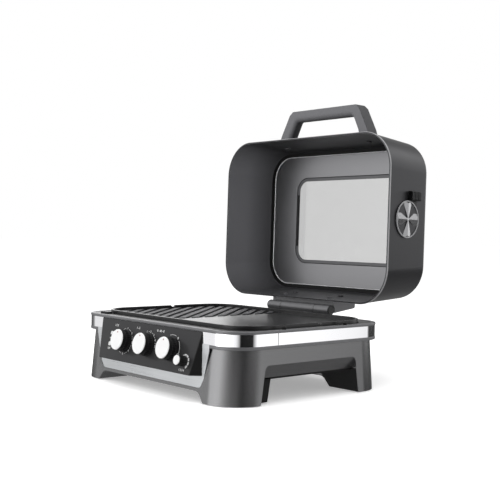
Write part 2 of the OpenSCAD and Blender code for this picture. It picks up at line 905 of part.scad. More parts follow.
// The small knob's grip
module dimmer_knob() {
    color([0.05, 0.05, 0.05])
    on_panel(dimmer_x, dimmer_z)
        difference() {
            union() {
                translate([0, 0, knob_gap])
                    cylinder(r = dimmer_r, h = dimmer_h - cap_t - knob_gap);
                for (i = [0:17])
                    rotate([0, 0, i * 20])
                        translate([dimmer_r, 0, knob_gap])
                            cylinder(r = 0.5, h = dimmer_h - cap_t - knob_gap - 0.6, $fn = 12);
            }
            translate([0, 0, knob_gap - 1])
                cylinder(r = spindle_r + 0.02, h = dimmer_h - 2.8 - knob_gap);
        }
}

// The small knob's cap
module dimmer_cap() {
    color([0.92, 0.92, 0.92])
    on_panel(dimmer_x, dimmer_z)
        translate([0, 0, dimmer_h - cap_t])
            cylinder(r1 = dimmer_r - 0.8, r2 = dimmer_r - 1.3, h = cap_t);
}

// The small knob's spindle
module dimmer_spindle() {
    spindle(dimmer_x, dimmer_z, dimmer_h - 4);
}

// Puts its children in the open lid's place, with Y into the lid
module lid_place() {
    translate([0, hinge_y, hinge_z])
        rotate([-lid_lean, 0, 0])
            translate([0, -lid_set, lid_h / 2 + lid_reach])
                children();
}

// Puts its children in the lid, with Z from the rim to the window
module lid_deep() {
    lid_place()
        rotate([-90, 0, 0])
            children();
}

// The solid form of the lid, drawn in by a given amount
module lid_form(cut, start) {
    hull() {
        slab(lid_w - 2 * cut - 2 * draft_slope * start, lid_h - 2 * cut - 2 * draft_slope * start,
            lid_r - cut, start, start + 0.02);
        slab(face_w + 1.6 - 2 * cut, face_h + 1.6 - 2 * cut, lid_r - 2 - cut,
            lid_depth - 10, lid_depth - 9.98);
        slab(face_w - 1.6 - 2 * cut, face_h - 1.6 - 2 * cut, lid_r - 3.4 - cut,
            lid_depth - 5 - cut / 2, lid_depth - 4.98 - cut / 2);
        slab(face_w - 7.4 - 2 * cut, face_h - 7.4 - 2 * cut, lid_r - 6 - cut,
            lid_depth - 1.6 - cut, lid_depth - 1.58 - cut);
        slab(face_w - 16 - 2 * cut, face_h - 16 - 2 * cut, lid_r - 9 - cut,
            lid_depth - 0.02 - cut, lid_depth - cut);
    }
}

// Puts its children on the lid's right wall, with Z pointing out and Y into the lid
module on_vent() {
    lid_place()
        translate([lid_w / 2 - draft_slope * vent_in, vent_in, 0])
            rotate([0, 0, draft_angle])
                rotate([0, 90, 0])
                    children();
}

// One sector of the vent, about a given direction
module vent_sector(angle, r0, r1, half, z0, z1) {
    rotate([0, 0, angle])
        translate([0, 0, z0])
            linear_extrude(height = z1 - z0)
                polygon([[r0, -r0 * tan(half)], [r1, -r1 * tan(half)], [r1, r1 * tan(half)],
                    [r0, r0 * tan(half)]]);
}

// The lid's drawn sheet shell
module lid_shell() {
    color([0.33, 0.33, 0.34])
    difference() {
        lid_deep()
            difference() {
                union() {
                    lid_form(0, 0);
                    slab(lid_w + 1.4, lid_h + 1.4, lid_r + 0.7, 0, 2.4);
                }
                lid_form(lid_t, -1);
                translate([window_shift, 0, 0])
                    slab(window_w + 14, window_h + 14, window_r + 7, lid_depth - 6, lid_depth + 5);
                for (s = [-1, 1])
                    translate([s * handle_screw_x, 0, handle_in + handle_d / 2])
                        rotate([90, 0, 0])
                            cylinder(r = 2.3, h = big);
                for (s = [-1, 1])
                    for (z = [22, 48])
                        translate([s * leaf_screw_x, 0, z])
                            rotate([-90, 0, 0])
                                cylinder(r = 2.3, h = big);
            }
        on_vent() {
            for (i = [0:3])
                vent_sector(45 + i * 90, vent_hole_r0, vent_hole_r1 - 6, vent_half, -10, 10);
            translate([0, 0, -10])
                cylinder(r = rivet_r + 0.05, h = 20);
        }
    }
}

// The panel inside the lid, round the window
module inner_panel() {
    color([0.4, 0.4, 0.41])
    lid_deep()
        difference() {
            union() {
                slab(liner_w, liner_h, liner_r, lid_depth - lid_t - 3, lid_depth - lid_t - 3 + liner_t);
                slab(liner_w - 16, liner_h - 16, liner_r - 8, lid_depth - lid_t - 3, lid_depth - lid_t);
            }
            slab(liner_w - 16 - 2 * liner_t, liner_h - 16 - 2 * liner_t, liner_r - 8 - liner_t,
                lid_depth - lid_t - 3 + liner_t, lid_depth);
            translate([window_shift, 0, 0]) {
                slab(window_w, window_h, window_r, 0, big);
                slab(window_w + 6, window_h + 6, window_r + 3, 0, lid_depth - lid_t - 2.4);
            }
        }
}

// Puts its children in the window's place, with Z from the rim to the window
module window_place() {
    lid_deep()
        translate([window_shift, 0, 0])
            children();
}

// The soft seal round the glass
module window_gasket() {
    color([0.05, 0.05, 0.05])
    window_place()
        difference() {
            slab(window_w + 13.6, window_h + 13.6, window_r + 6.8, lid_depth - lid_t - 3 + liner_t + 0.1,
                lid_depth);
            slab(window_w + 10.1, window_h + 10.1, window_r + 5.05, 0,
                lid_depth - lid_t - 3 + liner_t + 0.15 + glass_t);
            slab(window_w + 3, window_h + 3, window_r + 1.5, 0, big);
        }
}

// The window glass
module window_glass() {
    color([0.8, 0.82, 0.82, 0.35])
    window_place()
        slab(window_w + 10, window_h + 10, window_r + 5, lid_depth - lid_t - 3 + liner_t + 0.1,
            lid_depth - lid_t - 3 + liner_t + 0.1 + glass_t);
}

// The trim frame round the window, outside the lid
module window_frame() {
    color([0.2, 0.2, 0.2])
    window_place()
        difference() {
            union() {
                slab(window_w + 26, window_h + 26, window_r + 13, lid_depth, lid_depth + 1.6);
                slab(window_w + 22, window_h + 22, window_r + 11, lid_depth + 1.5, lid_depth + 2.6);
            }
            slab(window_w - 2, window_h - 2, window_r - 1, 0, big);
        }
}

// Two clips that press the glass into its seal
module glass_clips() {
    color([0.08, 0.08, 0.08])
    window_place()
        for (s = [-1, 1])
            translate([s * (window_w / 2 - 0.2) - 3, -clip_len / 2, lid_depth - lid_t - 3 - 0.9])
                cube([6, clip_len, 1.45]);
}

// The handle's outline over the lid
module handle_shape() {
    polygon([[-handle_half_foot, lid_h / 2 - 8], [-handle_half_foot + 8, handle_top - 43.5],
        [-handle_half_top - 6, handle_top - 6.5], [-handle_half_top + 2, handle_top],
        [handle_half_top - 2, handle_top], [handle_half_top + 6, handle_top - 6.5],
        [handle_half_foot - 8, handle_top - 43.5], [handle_half_foot, lid_h / 2 - 8],
        [opening_half_foot, lid_h / 2 - 8], [opening_half_foot - 6, handle_top - 43.5],
        [opening_half_top + 3, handle_top - grip_t - 6], [opening_half_top - 3, handle_top - grip_t],
        [-opening_half_top + 3, handle_top - grip_t], [-opening_half_top - 3, handle_top - grip_t - 6],
        [-opening_half_foot + 6, handle_top - 43.5], [-opening_half_foot, lid_h / 2 - 8]]);
}

// The handle on the lid
module lid_handle() {
    color([0.4, 0.4, 0.41])
    difference() {
        lid_place()
            intersection() {
                translate([0, handle_in + handle_d, 0])
                    rotate([90, 0, 0])
                        linear_extrude(height = handle_d)
                            handle_shape();
                along_x(big, [[handle_in, 0], [handle_in, handle_top - 3], [handle_in + 3, handle_top],
                    [handle_in + handle_d - 3, handle_top], [handle_in + handle_d, handle_top - 3],
                    [handle_in + handle_d, 0]]);
            }
        lid_deep()
            lid_form(-0.02, 0);
        lid_place()
            for (s = [-1, 1])
                translate([s * handle_screw_x, handle_in + handle_d / 2, lid_h / 2 - 20])
                    cylinder(r = 2.05, h = 32);
    }
}

// The screws that hold the handle, from inside the lid
module handle_screws() {
    color([0.7, 0.7, 0.7])
    lid_place()
        for (s = [-1, 1])
            translate([s * handle_screw_x, handle_in + handle_d / 2,
                lid_h / 2 - draft_slope * (handle_in + handle_d / 2) - lid_t - 2.2]) {
                cylinder(r = 4.5, h = 1.8);
                cylinder(r = 2, h = 18);
            }
}

// The hinge leaf under the open lid, with the outer knuckles
module hinge_leaf() {
    color([0.22, 0.22, 0.22])
    difference() {
        union() {
            translate([0, hinge_y, hinge_z])
                bar_x(barrel_r, barrel_len / 2);
            lid_place()
                along_x(barrel_len / 2 + 3, [[leaf_front, -lid_h / 2 - 10], [leaf_front, -lid_h / 2 + 6], [64, -lid_h / 2 + 6],
                    [64, -lid_h / 2 - 11], [60.5, -lid_h / 2 - 14.8], [15, -lid_h / 2 - 20],
                    [leaf_front, -lid_h / 2 - 20.6]]);
        }
        lid_deep()
            lid_form(-0.02, 0);
        translate([0, hinge_y, hinge_z])
            bar_x(barrel_r + 1, knuckle_half + run_gap);
        translate([-knuckle_half - run_gap, hinge_y - 20, hinge_z - 20])
            cube([2 * knuckle_half + 2 * run_gap, 20, 20]);
        translate([0, hinge_y, hinge_z])
            bar_x(pin_r + run_gap, big);
        for (s = [-1, 1])
            translate([s * (barrel_len / 2 + 5), hinge_y, hinge_z])
                bar_x(barrel_r + 0.2, 5);
        lid_place()
            for (s = [-1, 1])
                for (y = [22, 48])
                    translate([s * leaf_screw_x, y, -lid_h / 2 - 8])
                        cylinder(r = 2.05, h = 20);
    }
}

// The screws that hold the hinge leaf, from inside the lid
module leaf_screws() {
    color([0.7, 0.7, 0.7])
    lid_place()
        for (s = [-1, 1])
            for (y = [22, 48])
                translate([s * leaf_screw_x, y, -lid_h / 2 + draft_slope * y + lid_t + 0.4]) {
                    cylinder(r = 4.5, h = 1.8);
                    translate([0, 0, -8])
                        cylinder(r = 2, h = 9);
                }
}

// The round caps on the ends of the hinge barrel
module hinge_caps() {
    color([0.12, 0.12, 0.12])
    translate([0, hinge_y, hinge_z])
        for (s = [-1, 1])
            translate([s * (barrel_len / 2 + 0.75), 0, 0]) {
                bar_x(barrel_r - 1, 0.7);
                translate([-s * 1.2, 0, 0])
                    bar_x(pin_r + run_gap - 0.02, 1.2);
            }
}

// The vent's turning disc with its folded blades
module vent_disc() {
    color([0.8, 0.8, 0.81])
    on_vent()
        difference() {
            union() {
                translate([0, 0, 0.2])
                    cylinder(r = vent_r, h = vent_t);
                translate([0, 0, 0.2])
                    difference() {
                        cylinder(r = vent_r, h = vent_t + 1);
                        cylinder(r = vent_r - 2.2, h = vent_t + 2);
                    }
                translate([-46, 5, 0.2])
                    cube([26, 20, vent_t]);
                for (i = [0:3])
                    vent_sector(i * 90 + 8, 8, vent_r - 5, 1.6, 0.3, vent_t + 1.4);
            }
            for (i = [0:3])
                vent_sector(45 + i * 90, vent_hole_r0, vent_hole_r1 - 5, vent_half, -5, 5);
            translate([0, 0, -5])
                cylinder(r = rivet_r + run_gap, h = 10);
        }
}

// The black finger tab on the vent disc
module vent_tab() {
    color([0.05, 0.05, 0.05])
    on_vent()
        difference() {
            union() {
                translate([-45, 3, vent_t + 0.2])
                    cube([15, 24, tab_h - vent_t - 0.2]);
                translate([-33, 5, vent_t + 0.2])
                    cube([3.2, 14, 3]);
            }
            for (i = [0:4])
                translate([-46, 6 + i * 4, tab_h - 0.8])
                    cube([17, 1.4, 2]);
        }
}

// The rivet at the vent's centre
module vent_rivet() {
    color([0.75, 0.75, 0.76])
    on_vent() {
        translate([0, 0, vent_t + 0.4])
            cylinder(r1 = 4.6, r2 = 3.4, h = 1.4);
        translate([0, 0, -lid_t - 1.6])
            cylinder(r = rivet_r, h = lid_t + vent_t + 2.4);
        translate([0, 0, -lid_t - 1.7])
            cylinder(r = 4, h = 1.6);
    }
}

base_housing();
bottom_cover();
rubber_feet();
base_screws();
front_fascia();
trim_band();
top_frame();
cooking_well();
drip_tray();
heating_element();
element_terminals();
control_panel();
mode_switch();
thermostat();
timer_unit();
dimmer_unit();
power_inlet();
inlet_pins();
hinge_mount();
hinge_pin();
lid_bumpers();
grill_plate();
mode_knob();
mode_cap();
mode_spindle();
heat_knob();
heat_cap();
heat_spindle();
timer_knob();
timer_cap();
timer_spindle();
dimmer_knob();
dimmer_cap();
dimmer_spindle();
lid_shell();
inner_panel();
window_gasket();
window_glass();
window_frame();
glass_clips();
lid_handle();
handle_screws();
hinge_leaf();
leaf_screws();
hinge_caps();
vent_disc();
vent_tab();
vent_rivet();
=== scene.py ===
import math

import bmesh
import bpy
from mathutils import Matrix, Vector


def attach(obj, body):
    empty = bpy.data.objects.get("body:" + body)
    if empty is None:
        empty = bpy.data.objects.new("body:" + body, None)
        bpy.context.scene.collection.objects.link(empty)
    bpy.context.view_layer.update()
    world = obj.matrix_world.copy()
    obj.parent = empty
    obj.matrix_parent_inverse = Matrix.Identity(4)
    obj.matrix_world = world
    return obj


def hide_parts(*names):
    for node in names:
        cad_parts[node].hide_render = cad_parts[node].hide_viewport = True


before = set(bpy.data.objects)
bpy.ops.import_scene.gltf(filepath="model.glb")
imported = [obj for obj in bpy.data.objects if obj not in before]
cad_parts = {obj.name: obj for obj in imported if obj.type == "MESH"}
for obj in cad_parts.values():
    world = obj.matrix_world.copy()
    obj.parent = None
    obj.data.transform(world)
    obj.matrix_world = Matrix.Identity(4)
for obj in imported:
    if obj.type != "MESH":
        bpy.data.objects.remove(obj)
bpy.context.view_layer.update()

bl_info = {
    "name": "Indoor Grill",
    "version": (1, 0, 0),
    "blender": (4, 5, 0),
    "location": "View3D > Sidebar > Grill",
    "description": "Models and finishes an electric indoor grill with a hinged window lid",
    "category": "Add Mesh",
}

# All shaping is done in millimetres; settle() turns a finished piece into metres.
MM = 1000.0


# ---------------------------------------------------------------- shared sizes

# Far enough to pass right through the grill, on both sides of its middle.
THROUGH = 400
# An outline is its width, its depth and the radius of its corners.
# The housing at its foot, the width and depth of its top, and its height.
HOUSING_FOOT = (395.4, 315.8, 54)
HOUSING_TOP = (392.8, 301.8)
HOUSING_HIGH = 78.5
# Half the width of the arch between the legs, at the table and at its head.
ARCH_FOOT, ARCH_HEAD = 136, 123
# The black strips of painted shade at the foot of the side skirts, from the grill's middle.
SKIRT_IN, SKIRT_OUT = 182.6, 185.6
# The outline of the polished band, where it starts and ends, and the top of the frame above it.
BAND = (400, 309, 46)
BAND_LOW, BAND_HIGH = 83.4, 100.3
FRAME_HIGH = 104.5
# The sloping panel: its foot and its top, half its width, its top edge's Y, and how far it comes forward
# on the way down. Its face is turned up from the floor by this many degrees.
PANEL_LOW, PANEL_HIGH = 38.3, 100.3
PANEL_DROP = PANEL_HIGH - PANEL_LOW
PANEL_HALF = 130
PANEL_Y, PANEL_RUN = -154.9, 14
PANEL_TURN = 77.28
# Where the knobs stand on the panel.
KNOBS_X, KNOBS_Z = (-55.5, 4.5, 64.5), 69.7
SMALL_KNOB = (102, 56.5)
# The plate's outer outline.
PLATE = (371, 261, 50)
# The lid's sheet at its rim, the width and depth of its flat face, and its own depth.
LID_RIM = (396, 275.65, 58.5)
LID_FACE = (379.5, 259.2)
LID_DEPTH = 105
# How far the lid's walls lean in, as a share of the depth and in degrees.
LID_DRAFT, LID_DRAFT_TURN = 0.0786, 4.49
# The panel inside the lid and the glass.
LINER = (351, 237, 42)
GLASS = (250.4, 155.3, 24.5)
# How far the window stands off the middle of the lid, and the liner's opening off the window.
WINDOW_X = 6.8
LINER_SHIFT = 2.5
# The vent's middle, from the lid's rim.
VENT_DEEP = 47.5
# The hinge: the barrel's middle, half its length, half its middle knuckle and the gap beside that.
HINGE_Y, HINGE_Z = 157.0, 113.5
BARREL_HALF, KNUCKLE_HALF, KNUCKLE_GAP = 74.5, 40.4, 0.8


# ---------------------------------------------------------------- places


def move(x, y, z):
    """A shift, in millimetres."""
    return Matrix.Translation((x, y, z))


def turn(axis, degrees):
    """A turn about an axis."""
    return Matrix.Rotation(math.radians(degrees), 4, axis)


HINGE = move(0, HINGE_Y, HINGE_Z)
# The open lid: X across, Y from its rim to its window, Z up.
LID = HINGE @ turn("X", -1.2) @ move(0, -5.25, 153.05)
# The same, with Z from the rim to the window, as the lid's sheet is drawn.
LID_DEEP = LID @ turn("X", -90)
# The glass and its frame, and the opening of the liner round them.
WINDOW = LID_DEEP @ move(WINDOW_X, 0, 0)
OPENING = LID_DEEP @ move(WINDOW_X + LINER_SHIFT, 0, 0)
# The right wall of the lid at the vent, with Z pointing out of the wall.
VENT = (
    LID
    @ move(LID_RIM[0] / 2 - LID_DRAFT * VENT_DEEP, VENT_DEEP, 0)
    @ turn("Z", LID_DRAFT_TURN)
    @ turn("Y", 90)
)


def panel_spot(x, z):
    """The sloping panel's face at a given height, with Y up the panel and Z out of it."""
    return move(x, PANEL_Y - PANEL_RUN * (PANEL_HIGH - z) / PANEL_DROP, z) @ turn("X", PANEL_TURN)


# ---------------------------------------------------------------- shaping tools


def clear_selection():
    """Leave edit mode and choose nothing."""
    if bpy.context.object and bpy.context.object.mode != "OBJECT":
        bpy.ops.object.mode_set(mode="OBJECT")
    bpy.ops.object.select_all(action="DESELECT")


def activate(piece):
    """Choose one piece only."""
    clear_selection()
    piece.select_set(True)
    bpy.context.view_layer.objects.active = piece


def edit(piece):
    activate(piece)
    bpy.ops.object.mode_set(mode="EDIT")


def leave_edit():
    bpy.ops.object.mode_set(mode="OBJECT")


def choose(piece, kind, test):
    """Select the parts of a piece in edit mode that pass a test, and count them."""
    bpy.ops.mesh.select_mode(type=kind)
    bpy.ops.mesh.select_all(action="DESELECT")
    mesh = bmesh.from_edit_mesh(piece.data)
    parts = {"VERT": mesh.verts, "EDGE": mesh.edges, "FACE": mesh.faces}[kind]
    found = 0
    for part in parts:
        if test(part):
            part.select_set(True)
            found += 1
    mesh.select_flush_mode()
    bmesh.update_edit_mesh(piece.data)
    return found


def middle(part):
    """The middle of an edge or a face."""
    total = Vector((0, 0, 0))
    for vertex in part.verts:
        total += vertex.co
    return total / len(part.verts)


def runs_along(axis):
    """A test for edges that run along an axis, given as 0, 1 or 2."""

    def test(edge):
        span = edge.verts[1].co - edge.verts[0].co
        return abs(span[axis]) > 0.9 * span.length

    return test


def block(name, low, high):
    """A plain block between two corners, as the start of a piece."""
    clear_selection()
    centre = [(a + b) / 2 for a, b in zip(low, high)]
    bpy.ops.mesh.primitive_cube_add(size=1, location=centre)
    piece = bpy.context.object
    piece.name = name
    piece.scale = [b - a for a, b in zip(low, high)]
    bpy.ops.object.transform_apply(location=True, rotation=True, scale=True)
    return piece


def round_edges(piece, test, radius, steps):
    """Round the edges of a piece that pass a test."""
    edit(piece)
    found = choose(piece, "EDGE", test)
    if found:
        bpy.ops.mesh.bevel(offset=radius, segments=steps, affect="EDGES")
    leave_edit()
    if not found:
        raise RuntimeError("no edge to round on " + piece.name)


def grown(outline, by):
    """An outline drawn out on every side, or in where the amount is below nought."""
    width, depth, radius = outline
    return (width + 2 * by, depth + 2 * by, radius + by)


def slab(name, outline, low, high, top=None, steps=14, centre=(0, 0)):
    """A block with round upright corners; top gives its upper face another width and depth."""
    width, depth, radius = outline
    x, y = centre
    piece = block(name, (x - width / 2, y - depth / 2, low), (x + width / 2, y + depth / 2, high))
    round_edges(piece, runs_along(2), radius, steps)
    if top:
        edit(piece)
        choose(piece, "VERT", lambda v: v.co.z > high - 0.01)
        bpy.ops.transform.resize(
            value=(top[0] / width, top[1] / depth, 1), center_override=(x, y, high)
        )
        leave_edit()
    return piece


def drum(name, radius, low, high, sides=64, top_radius=None):
    """A round bar along Z."""
    clear_selection()
    bpy.ops.mesh.primitive_cone_add(
        vertices=sides,
        radius1=radius,
        radius2=radius if top_radius is None else top_radius,
        depth=high - low,
        location=(0, 0, (low + high) / 2),
    )
    piece = bpy.context.object
    piece.name = name
    bpy.ops.object.transform_apply(location=True, rotation=True, scale=True)
    return piece


def trim(piece, planes):
    """Cut a convex piece by planes, each a point and an outward direction."""
    edit(piece)
    for point, outward in planes:
        bpy.ops.mesh.select_all(action="SELECT")
        bpy.ops.mesh.bisect(
            plane_co=point, plane_no=Vector(outward).normalized(), use_fill=True, clear_outer=True
        )
    leave_edit()
    return piece


def prism(name, outline, low, high, axis="Y"):
    """A block whose outline is a convex run of points, drawn out along an axis.
    Along Y the points are X and Z; along X they are Y and Z; along Z they are X and Y."""
    first = [p[0] for p in outline]
    second = [p[1] for p in outline]
    spots = {
        "X": lambda a, b, c: (c, a, b),
        "Y": lambda a, b, c: (a, c, b),
        "Z": lambda a, b, c: (a, b, c),
    }[axis]
    piece = block(
        name,
        spots(min(first), min(second), low),
        spots(max(first), max(second), high),
    )
    centre = Vector((sum(first) / len(first), sum(second) / len(second)))
    planes = []
    for here, there in zip(outline, outline[1:] + outline[:1]):
        run = Vector(there) - Vector(here)
        out = Vector((run.y, -run.x)).normalized()
        if out.dot(Vector(here) - centre) < 0:
            out = -out
        if max(abs(out.x), abs(out.y)) < 0.9999:
            planes.append((spots(here[0], here[1], 0), spots(out.x, out.y, 0)))
    return trim(piece, planes)


def apply_modifier(piece, kind, **settings):
    activate(piece)
    modifier = piece.modifiers.new(kind.title(), kind)
    for key, value in settings.items():
        setattr(modifier, key, value)
    bpy.ops.object.modifier_apply(modifier=modifier.name)


def combine(piece, tool, operation):
    apply_modifier(piece, "BOOLEAN", operation=operation, solver="EXACT", object=tool)
    bpy.data.objects.remove(tool)
    return piece


def cut(piece, *tools):
    for tool in tools:
        combine(piece, tool, "DIFFERENCE")
    return piece


def add(piece, *tools):
    for tool in tools:
        combine(piece, tool, "UNION")
    return piece


def join(piece, *others):
    activate(piece)
    for other in others:
        other.select_set(True)
    bpy.ops.object.join()
    return piece


def copy_of(piece, name, matrix=None):
    """A copy with its own mesh, moved by a matrix."""
    other = piece.copy()
    other.data = piece.data.copy()
    other.name = name
    bpy.context.scene.collection.objects.link(other)
    if matrix is not None:
        other.data.transform(matrix)
    return other


def soften(piece, width, steps=3, angle=32, smooth=35):
    """Round every sharp edge a little and shade the piece as moulded or pressed."""
    apply_modifier(
        piece,
        "BEVEL",
        width=width,
        segments=steps,
        limit_method="ANGLE",
        angle_limit=math.radians(angle),
        use_clamp_overlap=True,
        miter_outer="MITER_ARC",
    )
    smooth_over(piece, smooth)


def smooth_over(piece, angle=35):
    activate(piece)
    bpy.ops.object.shade_smooth_by_angle(angle=math.radians(angle))
    apply_modifier(piece, "WEIGHTED_NORMAL", keep_sharp=True, weight=60)


def settle(piece, place=None):
    """Put a piece in its place in the frame, in metres, and bake that into its mesh."""
    activate(piece)
    piece.matrix_world = Matrix.Scale(1 / MM, 4) @ (place or Matrix.Identity(4))
    bpy.ops.object.transform_apply(location=True, rotation=True, scale=True)


def dress(piece, material, body, slot_name, *replaced):
    """Give a piece its finish and its body, and hide the solids that it stands for."""
    piece.data.materials.clear()
    piece.data.materials.append(material)
    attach(piece, body)
    if replaced:
        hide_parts(*replaced)


# ---------------------------------------------------------------- finishes


def ink(code):
    """A screen colour such as 545454 as linear red, green and blue."""
    parts = [int(code[i : i + 2], 16) / 255 for i in (0, 2, 4)]
    return tuple(
        c / 12.92 if c <= 0.04045 else ((c + 0.055) / 1.055) ** 2.4 for c in parts
    )


def shade(colour, factor):
    """A colour made lighter or darker by a factor, with full opacity."""
    return tuple(min(1.0, max(0.0, c * factor)) for c in colour[:3]) + (1.0,)


# The slow drift over a piece, in turns per metre, and the part of a noise's range that its values fill.
BROAD_GRAIN = 9.0
NOISE_RANGE = (0.3, 0.7)
# The height of the finest relief, in metres.
RELIEF_HIGH = 0.0002


def add_node(tree, kind, inputs=None, **settings):
    """Add a shader node, with the values of its inputs and its own settings."""
    made = tree.nodes.new("ShaderNode" + kind)
    for key, value in settings.items():
        setattr(made, key, value)
    for key, value in (inputs or {}).items():
        made.inputs[key].default_value = value
    return made


def finish(
    name,
    colour,
    metallic=0.0,
    rough=0.5,
    grain=1400.0,
    drift=0.08,
    relief=0.1,
    stretch=(1.0, 1.0, 1.0),
    coat=0.0,
    specular=0.5,
    play=0.06,
):
    """A surface whose colour, gloss and fine relief vary over the piece."""
    material = bpy.data.materials.new(name)
    material.use_nodes = True
    tree = material.node_tree
    link = tree.links.new
    shader = tree.nodes["Principled BSDF"]
    shader.inputs["Metallic"].default_value = metallic
    shader.inputs["Specular IOR Level"].default_value = specular
    shader.inputs["Coat Weight"].default_value = coat
    shader.inputs["Coat Roughness"].default_value = 0.12
    place = add_node(tree, "TexCoord")
    mapping = add_node(tree, "Mapping", {"Scale": stretch})
    link(place.outputs["Object"], mapping.inputs["Vector"])
    broad = add_node(tree, "TexNoise", {"Scale": BROAD_GRAIN, "Detail": 3.0})
    link(place.outputs["Object"], broad.inputs["Vector"])
    fine = add_node(tree, "TexNoise", {"Scale": grain, "Detail": 3.0})
    link(mapping.outputs["Vector"], fine.inputs["Vector"])
    blend = add_node(tree, "Mix", {"Factor": 0.5})
    link(broad.outputs["Fac"], blend.inputs["A"])
    link(fine.outputs["Fac"], blend.inputs["B"])
    ramp = add_node(tree, "ValToRGB")
    for end, spot, factor in zip(ramp.color_ramp.elements, NOISE_RANGE, (1 - drift, 1 + drift)):
        end.position = spot
        end.color = shade(colour, factor)
    link(blend.outputs["Result"], ramp.inputs["Fac"])
    link(ramp.outputs["Color"], shader.inputs["Base Color"])
    low, high = NOISE_RANGE
    gloss = add_node(tree, "MapRange", {
        "From Min": low,
        "From Max": high,
        "To Min": max(0.02, rough - play),
        "To Max": min(1.0, rough + play),
    })
    link(blend.outputs["Result"], gloss.inputs["Value"])
    link(gloss.outputs["Result"], shader.inputs["Roughness"])
    bump = add_node(tree, "Bump", {"Strength": relief, "Distance": RELIEF_HIGH})
    link(fine.outputs["Fac"], bump.inputs["Height"])
    link(bump.outputs["Normal"], shader.inputs["Normal"])
    return material


def glass_finish(name, colour):
    """Clear glass with the faintest drift in its gloss."""
    material = finish(name, colour, rough=0.04, grain=60.0, drift=0.02, relief=0.0, play=0.015)
    shader = material.node_tree.nodes["Principled BSDF"]
    shader.inputs["Transmission Weight"].default_value = 1.0
    shader.inputs["IOR"].default_value = 1.45
    return material


# ---------------------------------------------------------------- what a user would change


def length(name, description, value):
    return bpy.props.FloatProperty(
        name=name, description=description, default=value, min=0.0, unit="LENGTH", precision=4
    )


def paint(name, description, code):
    return bpy.props.FloatVectorProperty(
        name=name,
        description=description,
        default=ink(code),
        min=0.0,
        max=1.0,
        size=3,
        subtype="COLOR",
    )


class GrillSizes(bpy.types.PropertyGroup):
    """The sizes of the grill's visible pieces"""

    sheet: length("Lid sheet", "Thickness of the lid's drawn sheet", 0.002)
    lid_edge: length("Lid edge", "Rounding of the edge round the lid's flat face", 0.009)
    wall: length("Housing wall", "Thickness of the housing's wall", 0.0025)
    leg_edge: length("Leg edge", "Rounding of the edges of the housing and its legs", 0.0018)
    rib_edge: length("Rib edge", "Rounding of the edges of the plate's ribs", 0.0012)
    handle_edge: length("Handle edge", "Rounding of the handle's long edges", 0.0011)
    handle_bend: length("Handle corner", "Rounding inside the corners of the handle", 0.004)
    handle_round: length("Handle round", "Rounding round the opening of the handle", 0.0095)
    flute: length("Flute", "Depth of the flutes round the large knobs", 0.0007)
    face_height: length("Face sheet", "Height of the grey sheet on the panel's face", 0.00015)


class GrillColours(bpy.types.PropertyGroup):
    """The colours of the grill's finishes"""

    housing: paint("Housing", "Painted housing and its four legs", "747475")
    lip: paint("Frame", "Moulded frame above and below the band", "707072")
    lid: paint("Lid", "Painted sheet of the lid", "3c3c3e")
    liner: paint("Liner", "Panel inside the lid", "7e7e80")
    handle: paint("Handle", "Moulded handle", "444446")
    steel: paint("Steel", "Brushed front sheet", "c6c8ca")
    band: paint("Band", "Polished band", "f2f2f4")
    black: paint("Moulded black", "Black mouldings", "161617")
    plate: paint("Plate", "Non-stick coating of the plate", "1c1c1d")
    cap: paint("Caps", "White knob caps", "f8f8f8")
    dot: paint("Dot", "Pointer dot on the knob caps", "a87a78")
    print: paint("Print", "Printed marks on the panel", "e2e2e2")
    floor: paint("Floor", "Floor of the stage", "f0f0f0")


